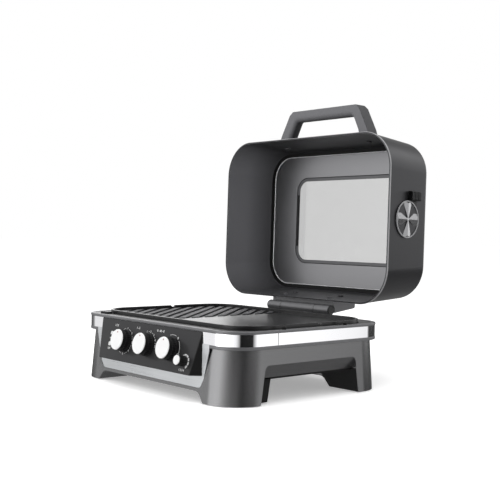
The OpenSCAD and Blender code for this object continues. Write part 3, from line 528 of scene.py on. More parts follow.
# Each finish: its colour, as a name in GrillColours or as a screen colour, then metallic, rough, grain,
# drift and relief, and whatever else it sets.
FINISHES = {
    "housing_paint": ("housing", 0.9, 0.25, 1600, 0.03, 0.03, {"play": 0.02}),
    "frame_paint": ("lip", 0.5, 0.42, 1600, 0.04, 0.10, {}),
    "lid_paint": ("lid", 0.7, 0.36, 1500, 0.04, 0.10, {}),
    "liner_paint": ("liner", 0.8, 0.34, 1300, 0.05, 0.10, {}),
    "step_paint": ("5a5a5c", 0.5, 0.40, 1300, 0.05, 0.06, {}),
    "lining_paint": ("39393b", 0.2, 0.42, 1500, 0.04, 0.06, {"specular": 0.3}),
    # Near-white paint for the liner's bead: a painted highlight along the liner's edge.
    "edge_paint": ("d8d8da", 0.1, 0.35, 1500, 0.04, 0.06, {}),
    # Light grey for the lid's rim bead and the vent's rim: a painted highlight along each rim.
    "rim_paint": ("a0a0a2", 0.2, 0.35, 1500, 0.05, 0.08, {}),
    "handle_moulding": ("handle", 0.0, 0.50, 1400, 0.05, 0.14, {"specular": 0.25}),
    "brushed_steel": ("steel", 1.0, 0.32, 260, 0.10, 0.10, {"stretch": (0.05, 1, 6), "play": 0.08}),
    "polished_band": ("band", 1.0, 0.07, 300, 0.02, 0.015, {"stretch": (0.1, 1, 4), "play": 0.02}),
    "black_moulding": ("black", 0.0, 0.38, 1500, 0.10, 0.14, {}),
    "panel_grey": ("222223", 0.0, 0.50, 1300, 0.04, 0.06, {"specular": 0.2}),
    "panel_black": ("0c0c0d", 0.0, 0.40, 1300, 0.08, 0.08, {"specular": 0.3}),
    "plate_coating": ("plate", 0.1, 0.36, 1900, 0.16, 0.22, {"coat": 0.1}),
    # A lighter, duller copy of the plate's coating for the ribs: a painted sheen.
    "rib_coating": ("505052", 0.0, 0.60, 1900, 0.16, 0.22, {"specular": 0.22}),
    "well_enamel": ("101011", 0.0, 0.35, 1300, 0.10, 0.10, {}),
    "cap_white": ("cap", 0.0, 0.35, 1300, 0.02, 0.05, {"play": 0.04}),
    "dot_red": ("dot", 0.0, 0.45, 1300, 0.03, 0.05, {}),
    "print_white": ("print", 0.0, 0.55, 1300, 0.03, 0.04, {}),
    "hinge_paint": ("6c6c6e", 0.4, 0.34, 1400, 0.08, 0.10, {}),
    "rubber": ("121212", 0.0, 0.75, 1200, 0.12, 0.30, {"specular": 0.3}),
    "vent_steel": ("9c9c9e", 1.0, 0.30, 500, 0.06, 0.08, {"stretch": (1, 0.2, 3), "play": 0.06}),
    "bare_steel": ("b8b8ba", 1.0, 0.30, 700, 0.06, 0.08, {}),
    "heater_sheath": ("2a2622", 0.6, 0.50, 900, 0.20, 0.20, {}),
    "ceramic": ("dcd6c8", 0.0, 0.60, 900, 0.04, 0.15, {}),
    "unit_plastic": ("2c2c30", 0.0, 0.50, 1200, 0.06, 0.10, {}),
    "brass": ("c8a860", 1.0, 0.35, 700, 0.06, 0.08, {}),
}


MADE = {}


def look(name):
    """The finish of that name, made on its first use."""
    if name not in MADE and name == "clear_glass":
        MADE[name] = glass_finish(name, ink("c8c8c8"))
    elif name not in MADE:
        colour, *values, others = FINISHES[name]
        chosen = getattr(bpy.context.scene.grill_colours, colour, None)
        MADE[name] = finish(name, ink(colour) if chosen is None else chosen, *values, **others)
    return MADE[name]


# ---------------------------------------------------------------- the base


def ring(name, outer, inner, low, high, steps=14):
    """A flat ring between two round-cornered outlines, each width, depth and corner radius."""
    piece = slab(name, outer, low, high, steps=steps)
    return cut(piece, slab("hole", inner, low - 1, high + 1, steps=steps))


# The left side of the front sheet, from its top to its foot.
FASCIA = [(-145, 83.9), (-145, 75.4), (-134, 36), (-127, 20.5)]


def fascia_block(name, near, far):
    """The outline of the front sheet, drawn out from near to far."""
    outline = FASCIA + [(-x, z) for x, z in reversed(FASCIA)]
    piece = prism(name, outline, near, far)
    round_edges(piece, lambda e: runs_along(1)(e) and middle(e).z < 21, 6, 5)
    return piece


def housing_form(name, inset, low, high):
    """The housing's drafted form, drawn in by an inset."""
    top = [size - 2 * inset for size in HOUSING_TOP]
    return slab(name, grown(HOUSING_FOOT, -inset), low, high, top)


def build_housing(sizes):
    """The painted housing: drafted walls, four corner legs and two recessed side skirts."""
    piece = housing_form("housing", 0, 0.8, HOUSING_HIGH)
    outline = [(-ARCH_FOOT, 0), (-ARCH_HEAD, 16), (ARCH_HEAD, 16), (ARCH_FOOT, 0)]
    arch = prism("arch", outline, -THROUGH, THROUGH)
    round_edges(arch, lambda e: runs_along(1)(e) and middle(e).z > 15, 6, 5)
    side = prism("side", [(-104, 0), (-95, 56.5), (86, 56.5), (95, 0)], -THROUGH, THROUGH, "X")
    round_edges(side, lambda e: runs_along(0)(e) and middle(e).z > 55, 9, 6)
    recesses = []
    for s in (-1, 1):
        recess = copy_of(side, "recess")
        trim(recess, [((s * 150, 0, 0), (-s, 0, 0)), ((s * 187, 0, 36), (-s * 20.5, 0, 10.2))])
        recesses.append(recess)
    trim(side, [((0, 0, 37.2), (0, 0, 1))])
    notch = fascia_block("notch", -THROUGH, -150.4)
    cut(piece, arch, side, *recesses, notch)
    soften(piece, sizes.leg_edge * MM, 4, 25)
    hollow = housing_form("hollow", sizes.wall * MM, 0, 76)
    for s in (-1, 1):
        low, high = sorted((s * 184.4, s * 210))
        cut(hollow, block("cheek", (low, -106.5, -1), (high, 97.5, 80)))
    cut(piece, hollow)
    smooth_over(piece, 35)
    settle(piece)
    dress(piece, look("housing_paint"), "base", "housing_grey", "base_housing")


def build_leg_shade_lining():
    """Painted shade: a thin black lining on the inner flanks of the two back legs, clear of the arch between
    them, standing for the shade under the base.
    """
    lining = prism("leg_lining", [(94.4, 1.2), (88.7, 37.0), (92.0, 37.0), (97.8, 1.2)], -195.6, 195.6, "X")
    high = 60
    lean = (ARCH_FOOT - ARCH_HEAD) / 16.3 * high
    outline = [(-ARCH_FOOT, 0), (lean - ARCH_FOOT, high), (ARCH_FOOT - lean, high), (ARCH_FOOT, 0)]
    cut(lining, prism("arch", outline, -THROUGH, THROUGH))
    settle(lining)
    dress(lining, look("rubber"), "base", "trim_black")


def build_skirt_shade_strips():
    """Painted shade: a black strip along the foot of each side skirt, with a black web behind each front
    leg, standing for the shade under the skirts and beside the legs.
    """
    strips = []
    for low, high in ((-SKIRT_OUT, -SKIRT_IN), (SKIRT_IN, SKIRT_OUT)):
        strips.append(block("strip", (low, -99.5, 34.2), (high, 90.5, 37.4)))
        strips.append(prism("web", [(-112, 2), (-112, 37), (-75, 37), (-81, 2)], low, high, "X"))
    piece = join(*strips)
    piece.name = "skirt_strips"
    soften(piece, 0.5, 2)
    settle(piece)
    dress(piece, look("rubber"), "base", "trim_black")


def build_frame():
    """The moulded frame: a lip under the band and a lip above it, with a small black stop on its corner."""
    low = ring("frame_lip_low", grown(BAND, 0.4), grown(BAND, -7.5), HOUSING_HIGH, BAND_LOW)
    soften(low, 0.9, 3)
    settle(low)
    dress(low, look("frame_paint"), "base", "frame_grey")
    high = ring("frame_lip_high", grown(BAND, 0.8), grown(BAND, -7.2), BAND_HIGH, FRAME_HIGH)
    soften(high, 1.3, 4)
    settle(high)
    dress(high, look("frame_paint"), "base", "frame_grey", "top_frame")
    stop = block("corner_stop", (-164, -139, 103.9), (-143, -129.5, 107.2))
    soften(stop, 0.9, 3)
    settle(stop)
    dress(stop, look("black_moulding"), "base", "trim_black")


def build_band():
    """The polished band round the base, its wings at the front corners and the brushed front sheet."""
    seam, gap = -76, 1.0
    band = ring("band_polished", BAND, grown(BAND, -1.6), BAND_LOW, BAND_HIGH, 22)
    wings = copy_of(band, "front_wings")
    trim(band, [((0, seam + gap, 0), (0, -1, 0))])
    smooth_over(band, 40)
    settle(band)
    dress(band, look("polished_band"), "base", "bright_band", "trim_band")
    trim(wings, [((0, seam, 0), (0, 1, 0))])
    smooth_over(wings, 40)
    settle(wings)
    dress(wings, look("polished_band"), "base", "front_steel")
    sheet = fascia_block("front_sheet", -155.0, -152.9)
    soften(sheet, 0.35, 2, 40)
    settle(sheet)
    dress(sheet, look("brushed_steel"), "base", "front_steel", "front_fascia")


def build_panel(sizes):
    """The sloping control panel: a black wedge with a flat grey sheet on its face."""
    low = (-PANEL_HALF, PANEL_Y - PANEL_RUN, PANEL_LOW)
    panel = block("control_wedge", low, (PANEL_HALF, -153.5, PANEL_HIGH))
    slope = ((0, PANEL_Y, PANEL_HIGH), (0, -PANEL_DROP, PANEL_RUN))
    sides = [((s * PANEL_HALF, PANEL_Y, 60), (s * 868, -744, 0)) for s in (1, -1)]
    trim(panel, [slope] + sides)
    soften(panel, 0.6, 3)
    settle(panel)
    dress(panel, look("panel_black"), "base", "panel_black", "control_panel")
    face = prism(
        "control_face",
        [(-117.2, 0.9), (117.2, 0.9), (129.0, 62.8), (-129.0, 62.8)],
        -0.4, sizes.face_height * MM, "Z",
    )
    soften(face, 0.1, 2)
    settle(face, panel_spot(0, PANEL_LOW))
    dress(face, look("panel_grey"), "base", "panel_black")


# The printed marks start on the panel's sheet and end this high above the panel.
PRINT_LOW, PRINT_HIGH = 0.15, 0.27


def mark(low, high, place):
    """One printed mark: a thin block on the panel's sheet."""
    piece = block("mark", (low[0], low[1], PRINT_LOW), (high[0], high[1], PRINT_HIGH))
    piece.data.transform(place)
    return piece


def figure(text, size, place):
    """Printed figures, as a thin mesh."""
    clear_selection()
    bpy.ops.object.text_add()
    piece = bpy.context.object
    piece.data.body = text
    piece.data.size = size
    piece.data.align_x = "CENTER"
    piece.data.align_y = "CENTER"
    piece.data.extrude = (PRINT_HIGH - PRINT_LOW) / 2
    piece.data.offset = size * 0.025
    piece.data.resolution_u = 3
    activate(piece)
    bpy.ops.object.convert(target="MESH")
    piece = bpy.context.object
    piece.data.transform(place @ move(0, 0, (PRINT_LOW + PRINT_HIGH) / 2))
    return piece


def at_clock(radius, angle):
    """A spot at a clock angle round a centre, in degrees from the top."""
    turned = math.radians(angle)
    return move(radius * math.sin(turned), radius * math.cos(turned), 0)


def arc(radius, start, end, width, place, steps=12, end_width=None, gap=0.0):
    """A run of marks round a centre, from one clock angle to another, in degrees from the top."""
    marks = []
    for i in range(steps):
        share = (i + 0.5) / steps
        angle = start + (end - start) * share
        half = radius * math.radians(abs(end - start)) / steps / 2 * (1 - gap)
        reach = width if end_width is None else width + (end_width - width) * share
        low = (-half - 0.02, radius - reach / 2)
        high = (half + 0.02, radius + reach / 2)
        marks.append(mark(low, high, place @ turn("Z", -angle)))
    return marks


def build_prints():
    """The printed marks: rings of dashes and figures, and a growing arc round the small knob."""
    left, centre, right = (panel_spot(x, KNOBS_Z) for x in KNOBS_X)
    stops = (5, 48, 92, 134, 178, 222)
    made = arc(19.4, -32, -8, 0.5, left, 2, gap=0.35)
    for i, angle in enumerate(stops):
        made.append(figure(str(i + 1), 4.6, left @ at_clock(19.8, angle)))
        if angle < stops[-1]:
            made += arc(19.4, angle + 11, stops[i + 1] - 11, 0.5, left, 2, gap=0.3)
    for i, angle in enumerate((-17, 10, 39, 65, 91)):
        made.append(figure(str(i + 1), 4.6, centre @ at_clock(20.2, angle)))
        if angle > 0:
            made += arc(20.2, angle - 15, angle - 11, 0.9, centre, 1)
    made += arc(21, -20, 22, 0.6, right, 10)
    made.append(figure("0", 4.8, right @ at_clock(21.2, 37)))
    made += arc(20.8, 51, 104, 0.6, right, 12)
    for side, up, wide, high in ((-38.6, 8.8, 4.0, 2.3), (-40.4, -8.2, 3.2, 2.7)):
        made.append(mark((-wide, -high), (wide, high), left @ move(side, up, 0)))
        made.append(mark((-wide + 1, high - 0.1), (wide - 1, high + 0.8), left @ move(side, up, 0)))
    made.append(figure("+", 5, left @ move(-41.6, 0.8, 0)))
    made.append(figure("OFF", 4.2, left @ move(-39.6, -15.2, 0)))
    for place, side, up, text in (
        (left, -29.9, 22.0, "1 2 3"),
        (centre, -30.4, 22.8, "1 - 5"),
        (right, -32.2, 23.4, "0 - 60 - 0"),
    ):
        made.append(figure(text, 4.8, place @ move(side, up, 0)))
    small = panel_spot(*SMALL_KNOB)
    radius = 9.2
    made += arc(radius, -56, -18, 0.7, small, 8, end_width=1.6)
    for start, end, width in ((-13, 16, 2.4), (22, 48, 2.7), (56, 83, 3.0), (91, 118, 3.2), (128, 154, 3.4)):
        made += arc(radius, start, end, width, small, 5)
    made.append(figure("ON", 4.0, small @ move(-18.4, 7.2, 0)))
    made.append(figure("1 2 3 4", 4.4, small @ move(-3.6, -13.0, 0)))
    piece = join(*made)
    piece.name = "panel_prints"
    settle(piece)
    dress(piece, look("print_white"), "base", "cap_white")


def fluted(name, radius, low, high, flutes, depth, edge):
    """A drum with rounded flutes round its side."""
    sides = flutes * 6
    piece = drum(name, radius, low, high, sides)
    edit(piece)
    step = 2 * math.pi / flutes

    def on_flute(v):
        turned = math.atan2(v.co.y, v.co.x) / step
        return abs(turned - round(turned)) < 0.2 and v.co.xy.length > 1

    choose(piece, "VERT", on_flute)
    grow = (radius + depth) / radius
    bpy.ops.transform.resize(value=(grow, grow, 1), center_override=(0, 0, 0))
    leave_edit()
    soften(piece, edge, 3, 50, 50)
    return piece


def build_large_knobs(sizes):
    """Three stepped and fluted knobs, each with a narrow foot, a white cap and a pointer dot."""
    grip = drum("grip", 15.9, 3.0, 14.9, 120)
    soften(grip, 0.5, 3)
    foot = drum("foot", 17.3, 0.6, 2.6, 96, 17.1)
    soften(foot, 0.5, 3)
    collar = fluted("collar", 16.2, 2.4, 9.4, 30, sizes.flute * MM, 0.35)
    join(grip, foot, collar)
    cap = drum("cap", 15.9, 15.0, 16.4, 96, 15.4)
    to_dot = move(0, 11.6, 0)
    dimple = drum("dimple", 1.3, 16.0, 18, 32)
    dimple.data.transform(to_dot)
    cut(cap, dimple)
    soften(cap, 0.35, 3, 40)
    dot = drum("dot", 1.28, 15.8, 16.25, 32)
    dot.data.transform(to_dot)
    soften(dot, 0.15, 2)
    for x, kind in zip(KNOBS_X, ("mode", "heat", "timer")):
        place = panel_spot(x, KNOBS_Z)
        for source, part, material, slot_name, node in (
            (grip, "grip", "black_moulding", "knob_black", kind + "_knob"),
            (cap, "face", "cap_white", "cap_white", kind + "_cap"),
            (dot, "dot", "dot_red", "cap_white", None),
        ):
            piece = copy_of(source, kind + "_" + part)
            settle(piece, place)
            dress(piece, look(material), kind + "_control", slot_name, *([node] if node else []))
    for source in (grip, cap, dot):
        bpy.data.objects.remove(source)


def build_small_knob():
    """The small fluted knob with its white cap."""
    place = panel_spot(*SMALL_KNOB)
    grip = fluted("dimmer_grip", 7.4, 0.6, 14.2, 18, 0.45, 0.3)
    settle(grip, place)
    dress(grip, look("black_moulding"), "dimmer_control", "knob_black", "dimmer_knob")
    cap = drum("dimmer_face", 7.0, 14.2, 15.6, 64, 6.6)
    soften(cap, 0.35, 3, 40)
    settle(cap, place)
    dress(cap, look("cap_white"), "dimmer_control", "cap_white", "dimmer_cap")


def build_plate(sizes):
    """The lifting grill plate: a raised rim, ribs on the left and a flat half on the right; the ribs are a
    lighter grey than the plate's coating, a painted sheen standing for the light on them.
    """
    floor, flat, top, rib_top = 102.6, 104.0, 109.5, 105
    pitch, rib_half = 17, 4.4
    inside = grown(PLATE, -5)
    piece = slab("grill_plate_top", PLATE, 96.5, top)
    cut(
        piece,
        slab("recess", inside, flat, top + 5),
        trim(slab("ribbed", inside, floor, top + 5), [((-13, 0, 0), (1, 0, 0))]),
        slab("under", grown(PLATE, -10), 90, 99.5),
    )
    for s in (-1, 1):
        notch = drum("notch", 6, -9, 9, 40)
        notch.data.transform(move(s * 184.5, 18.6, top + 3) @ turn("Y", 90))
        cut(piece, notch)
    drain = drum("drain", 4.5, 90, 120, 40)
    drain.data.transform(move(123.5, -90.5, 0))
    cut(piece, drain)
    soften(piece, sizes.rib_edge * MM, 3, 40)
    ribs = []
    for i in range(-22, 5):
        rib = block("rib", (-300, -i * pitch - rib_half, floor - 0.6), (300, -i * pitch + rib_half, rib_top))
        rib.data.transform(turn("Z", 130))
        ribs.append(rib)
    field = join(*ribs)
    bounds = trim(slab("bounds", (356, 246, 42), floor - 0.5, rib_top - 0.02), [((-17, 0, 0), (1, 0, 0))])
    combine(field, bounds, "INTERSECT")
    soften(field, sizes.rib_edge * MM, 3, 40)
    field.name = "grill_plate_ribs"
    for part in (piece, field):
        part.data.transform(move(0, 3, 0))
        settle(part)
    dress(piece, look("plate_coating"), "plate", "plate_black", "grill_plate")
    # The ribs wear the lighter grey: a painted sheen.
    dress(field, look("rib_coating"), "plate", "plate_black")


# ---------------------------------------------------------------- the lid


def lid_form(name, grow=0.0, edge=9.0):
    """The closed form of the lid's drawn sheet, from its rim to its flat face."""
    top = [size + 2 * grow for size in LID_FACE]
    piece = slab(name, grown(LID_RIM, grow), 0, LID_DEPTH + grow, top, 20)
    edit(piece)
    choose(piece, "EDGE", lambda e: min(v.co.z for v in e.verts) > LID_DEPTH - 0.1 + grow)
    bpy.ops.mesh.bevel(offset=edge, segments=7, affect="EDGES")
    leave_edit()
    return piece


def wedge(angle, near, far, half, low, high):
    """A four-sided form that points away from the vent's centre; half is the angle to each of its sides."""
    spread = math.tan(math.radians(half))
    outline = [(near, -near * spread), (far, -far * spread), (far, far * spread), (near, near * spread)]
    piece = prism("wedge", outline, low, high, "Z")
    piece.data.transform(turn("Z", angle))
    return piece


def cut_vent_holes(piece):
    """Cut the four openings under the vent into a sheet that is drawn in the lid's depth."""
    to_sheet = LID_DEEP.inverted() @ VENT
    for i in range(4):
        hole = wedge(45 + i * 90, 7, 18.5, 20, -9, 9)
        hole.data.transform(to_sheet)
        cut(piece, hole)


def at_rim(face):
    """A face that closes the lid's form at its rim."""
    return all(v.co.z < 0.01 for v in face.verts)


def at_face(face):
    """A face of the lid's flat side or of the rounding round it."""
    return all(v.co.z > 99 for v in face.verts)


def open_up(piece, test, thickness):
    """Take faces off a closed form and give the rest the thickness of a sheet."""
    edit(piece)
    choose(piece, "FACE", test)
    bpy.ops.mesh.delete(type="FACE")
    leave_edit()
    apply_modifier(piece, "SOLIDIFY", thickness=thickness, offset=-1.0, use_even_offset=True)


def build_lid(sizes):
    """The lid's drawn sheet, a thin lining inside its walls and the bead of its rim, which is light grey as
    a painted highlight.
    """
    piece = lid_form("lid_sheet", edge=sizes.lid_edge * MM)
    open_up(piece, at_rim, sizes.sheet * MM)
    cut(piece, slab("window", grown(GLASS, 2), 99, 110, centre=(WINDOW_X, 0)))
    cut_vent_holes(piece)
    smooth_over(piece, 40)
    settle(piece, LID_DEEP)
    dress(piece, look("lid_paint"), "lid", "lid_grey", "lid_shell")
    lining = lid_form("lid_lining", -2.06, sizes.lid_edge * MM - 2)
    open_up(lining, lambda f: at_rim(f) or at_face(f), 0.15)
    cut_vent_holes(lining)
    smooth_over(lining, 40)
    settle(lining, LID_DEEP)
    dress(lining, look("lining_paint"), "lid", "lid_grey")
    # The rim's bead is light grey against the dark lid: a painted highlight.
    bead = ring("lid_rim", grown(LID_RIM, 0.7), grown(LID_RIM, -2.3), 0.0, 2.6, 20)
    soften(bead, 0.9, 4)
    settle(bead, LID_DEEP)
    dress(bead, look("rim_paint"), "lid", "lid_grey")


def build_liner():
    """The panel inside the lid: a rounded edge with a near-white bead on it as a painted highlight, a black
    ring round it as painted shade between it and the lid's wall, and a stepped window opening.
    """
    piece = slab("liner", LINER, 100, 102.9, steps=20)
    round_edges(piece, lambda e: max(v.co.z for v in e.verts) < 100.01, 1.3, 4)
    centre = (WINDOW_X + LINER_SHIFT, 0)
    cut(piece, slab("window", (248.4, 158.3, 26), 90, 110, steps=12, centre=centre))
    soften(piece, 0.3, 2, 50)
    settle(piece, LID_DEEP)
    dress(piece, look("liner_paint"), "lid", "liner_grey", "inner_panel")
    # The bead is near-white, a painted highlight along the liner's rounded edge.
    bead = ring("liner_bead", grown(LINER, 0.6), grown(LINER, -0.8), 99.5, 100.8, 20)
    soften(bead, 0.4, 3)
    settle(bead, LID_DEEP)
    dress(bead, look("edge_paint"), "lid", "liner_grey")
    # A black ring between the liner and the lid's wall: painted shade for the dark gap there.
    gap_shade = ring("liner_joint", (370.5, 250.5, 48), (350, 236, 41.6), 100.6, 102.8, 20)
    settle(gap_shade, LID_DEEP)
    dress(gap_shade, look("rubber"), "lid", "trim_black")
    step = ring("window_step", (246.6, 156.5, 25), (235.4, 145.3, 19.4), 101.0, 102.2, 12)
    soften(step, 0.4, 2)
    settle(step, OPENING)
    dress(step, look("step_paint"), "lid", "liner_grey")
    seal = ring("window_seal", (248.6, 158.5, 26.1), (235.8, 145.7, 19.6), 101.8, 103.0, 12)
    settle(seal, OPENING)
    dress(seal, look("rubber"), "lid", "trim_black", "window_gasket")
    clip_x, clip_half = 120.9, 2.4
    for s, side, nodes in ((-1, "left", ()), (1, "right", ("glass_clips",))):
        low, high = (s * clip_x - clip_half, -47.5, 99.2), (s * clip_x + clip_half, 47.5, 101.6)
        clip = block("glass_clip_" + side, low, high)
        soften(clip, 0.5, 3)
        settle(clip, OPENING)
        dress(clip, look("panel_black"), "lid", "trim_black", *nodes)


def build_window():
    """The glass and the black frame that holds it, outside the lid."""
    glass = slab("glass_pane", GLASS, 101.3, 104.3)
    soften(glass, 0.3, 2)
    settle(glass, WINDOW)
    dress(glass, look("clear_glass"), "lid", "window_clear", "window_glass")
    surround = ring("window_surround", grown(GLASS, 8), grown(GLASS, -2), 104.9, 107.5)
    soften(surround, 0.9, 4)
    settle(surround, WINDOW)
    dress(surround, look("lid_paint"), "lid", "trim_black", "window_frame")


def lid_behind():
    """The lid's solid form, a hair larger, to cut what is fixed on it to its face."""
    form = lid_form("form", 0.02)
    form.data.transform(turn("X", -90))
    return form


def build_handle(sizes):
    """The moulded carrying handle: two sloping posts and a cross bar, rounded round the opening."""
    near, far = 46, 69.5
    foot, bend, top = 118, 150.7, 175.4
    left = [(-113, 129), (-105, bend), (-85, 187.7), (-77, 194.2)]
    outer = prism("handle", left + [(-x, z) for x, z in reversed(left)], near, far)
    left = [(-88, foot), (-80, bend), (-67.5, top)]
    inner = prism("opening", left + [(-x, z) for x, z in reversed(left)], near - 5, far + 5)
    round_edges(inner, lambda e: runs_along(1)(e) and middle(e).z > top - 0.4, sizes.handle_bend * MM, 5)
    cut(outer, inner)

    def beside_opening(edge):
        """The edges of the opening on the handle's two broad faces, within lines that lean in with it."""
        spot = middle(edge)
        on_face = min(abs(spot.y - near), abs(spot.y - far)) < 0.01
        flat = abs(edge.verts[0].co.y - edge.verts[1].co.y) < 0.01
        reach = 89 - 0.245 * (spot.z - foot)
        return on_face and flat and abs(spot.x) < reach and foot + 1 < spot.z < top + 0.2

    round_edges(outer, beside_opening, sizes.handle_round * MM, 6)
    cut(outer, lid_behind())
    soften(outer, sizes.handle_edge * MM, 3, 34)
    settle(outer, LID)
    dress(outer, look("handle_moulding"), "lid", "handle_grey", "lid_handle")


def build_hinge():
    """The hinge: a barrel of three knuckles, the bracket on the base and the leaf under the lid."""
    for name, low, high, body in (
        ("knuckle_middle", -KNUCKLE_HALF, KNUCKLE_HALF, "base"),
        ("knuckle_left", -BARREL_HALF, -KNUCKLE_HALF - KNUCKLE_GAP, "lid"),
        ("knuckle_right", KNUCKLE_HALF + KNUCKLE_GAP, BARREL_HALF, "lid"),
    ):
        piece = drum(name, 8.5, low, high, 64)
        soften(piece, 0.9, 3, 40)
        settle(piece, HINGE @ turn("Y", 90))
        dress(piece, look("hinge_paint"), body, "hinge_dark")
    bracket = block("hinge_bracket", (-KNUCKLE_HALF, 155.1, 85.5), (KNUCKLE_HALF, 158.3, 108))
    add(bracket, block("bracket_foot", (-KNUCKLE_HALF, 150.6, FRAME_HIGH), (KNUCKLE_HALF, HINGE_Y, 113)))
    soften(bracket, 0.8, 3)
    settle(bracket)
    dress(bracket, look("hinge_paint"), "base", "hinge_dark", "hinge_mount")
    outline = [(11, -131.8), (64, -131.8), (64, -148.8), (60.5, -152.6), (15, -157.8), (11, -158.4)]
    leaf = prism("hinge_leaf_plate", outline, -BARREL_HALF, BARREL_HALF, "X")
    cut(leaf, lid_behind())
    clearance = drum("clearance", 9.6, -90, 90, 64)
    clearance.data.transform(LID.inverted() @ HINGE @ turn("Y", 90))
    cut(leaf, clearance)
    soften(leaf, 1.0, 3, 30)
    settle(leaf, LID)
    dress(leaf, look("hinge_paint"), "lid", "hinge_dark", "hinge_leaf")
    for s, side, nodes in ((-1, "left", ()), (1, "right", ("hinge_caps",))):
        end = drum("hinge_end_" + side, 7.4, BARREL_HALF + 0.02, 75.9, 48)
        soften(end, 0.6, 3, 40)
        settle(end, HINGE @ turn("Y", s * 90))
        dress(end, look("black_moulding"), "lid", "hinge_dark", *nodes)


def build_vent():
    """The turning vent: a steel disc with a rolled rim painted light grey as a painted highlight, four
    folded blades, dark fields between them and a black finger tab."""
    disc = drum("vent_plate", 29.5, 0.2, 1.2, 96)
    for i in range(4):
        cut(disc, wedge(45 + i * 90, 7, 19.5, 20, -5, 5))
    cut(disc, drum("bore", 2.4, -5, 5, 32))
    soften(disc, 0.2, 2, 40)
    settle(disc, VENT)
    dress(disc, look("vent_steel"), "vent", "vent_steel", "vent_disc")
    # The rim is light grey paint, not steel: a painted highlight round the disc.
    rim = drum("vent_rim", 29.9, 1.0, 2.8, 96)
    cut(rim, drum("hole", 28.0, -1, 4, 96))
    soften(rim, 0.5, 3, 40)
    settle(rim, VENT)
    dress(rim, look("rim_paint"), "vent", "vent_steel")
    blades, fields = [], []
    fold = (0, 0, 3.4)
    for i, half in enumerate((23, 29, 23, 29)):
        blade = wedge(0, 2.5, 28.4, half, 1.1, 5)
        trim(blade, [(fold, (0, 0.2, 1)), (fold, (0, -0.2, 1)), ((27.6, 0, 2.2), (0.6, 0, 1))])
        blade.data.transform(turn("Z", i * 90))
        blades.append(blade)
        fields.append(wedge(45 + i * 90, 3, 28.0, 26, 1.15, 1.45))
    for name, parts, material in (
        ("vent_blades", blades, "vent_steel"),
        ("vent_fields", fields, "lid_paint"),
    ):
        piece = join(*parts)
        piece.name = name
        soften(piece, 0.08, 2, 20, 10)
        settle(piece, VENT)
        dress(piece, look(material), "vent", "vent_steel")
    arm = block("vent_arm", (-46, 5, 0.25), (-22, 25, 1.15))
    tab = block("vent_grip", (-45, 3, 1.2), (-30, 27, 8.4))
    round_edges(tab, lambda e: runs_along(1)(e) and middle(e).z > 8, 1.6, 4)
    for y in range(6, 26, 4):
        cut(tab, block("groove", (-46, y, 7.6), (-29, y + 1.4, 10)))
    for piece, nodes in ((arm, ()), (tab, ("vent_tab",))):
        soften(piece, 0.3, 2, 35)
        settle(piece, VENT)
        dress(piece, look("panel_black"), "vent", "trim_black", *nodes)
    rivet = drum("vent_rivet_head", 3.6, 1.4, 3.4, 48, 2.6)
    soften(rivet, 0.6, 4, 25)
    settle(rivet, VENT)
    dress(rivet, look("bare_steel"), "lid", "vent_steel", "vent_rivet")


# ---------------------------------------------------------------- the rest

# The solids that are shown as they are, and their finishes.
CARRIED = {
    "bottom_cover": "black_moulding",
    "rubber_feet": "rubber",
    "base_screws": "bare_steel",
    "cooking_well": "well_enamel",
    "drip_tray": "bare_steel",
    "heating_element": "heater_sheath",
    "element_terminals": "ceramic",
    "mode_switch": "unit_plastic",
    "thermostat": "unit_plastic",
    "timer_unit": "unit_plastic",
    "dimmer_unit": "unit_plastic",
    "power_inlet": "black_moulding",
    "inlet_pins": "brass",
    "hinge_pin": "bare_steel",
    "lid_bumpers": "rubber",
    "mode_spindle": "bare_steel",
    "heat_spindle": "bare_steel",
    "timer_spindle": "bare_steel",
    "dimmer_spindle": "bare_steel",
    "handle_screws": "lining_paint",
    "leaf_screws": "lining_paint",
}


def finish_carried():
    """Finishes for the solids whose shape is shown as it is."""
    for node, material in CARRIED.items():
        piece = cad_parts[node]
        piece.data.materials.clear()
        piece.data.materials.append(look(material))


# ---------------------------------------------------------------- the stage

# The lamps: place, target, size, power, and the pieces that they shine on when those aren't all.
LAMPS = {
    "light_ceiling": ((0.2, -0.3, 2.4), (0, 0, 0.1), 2.2, 34, ()),
    "light_front": ((-1.5, -2.0, 1.5), (0, 0, 0.15), 1.6, 18, ()),
    "light_panel": ((-1.9, -1.15, 0.62), (0, -0.16, 0.07), 0.25, 112, ("control_face",)),
    "light_lining": (
        (2.25, -0.32, 0.34), (-0.19, 0.2, 0.28), 0.5, 120,
        ("lid_lining", "liner_bead", "leaf_screws", "handle_screws"),
    ),
    "light_handle": ((-1.1, -2.3, 0.9), (0, 0.2, 0.43), 0.4, 150, ("handle",)),
    "light_side": ((2.4, 0.9, 1.4), (0.1, 0.1, 0.2), 1.4, 3, ()),
}


def soft_light(name, place, target, width, power, receivers):
    """A square soft lamp that shines on everything, or only on the pieces named."""
    data = bpy.data.lights.new(name, "AREA")
    data.shape = "SQUARE"
    data.size = width
    data.energy = power
    lamp = bpy.data.objects.new(name, data)
    bpy.context.scene.collection.objects.link(lamp)
    lamp.location = place
    lamp.visible_glossy = False
    lamp.visible_transmission = False
    if receivers:
        lit = bpy.data.collections.new(name + "_receivers")
        for piece in receivers:
            lit.objects.link(bpy.data.objects[piece])
        lamp.light_linking.receiver_collection = lit
    lamp.rotation_mode = "QUATERNION"
    lamp.rotation_quaternion = (Vector(target) - Vector(place)).to_track_quat("-Z", "Y")


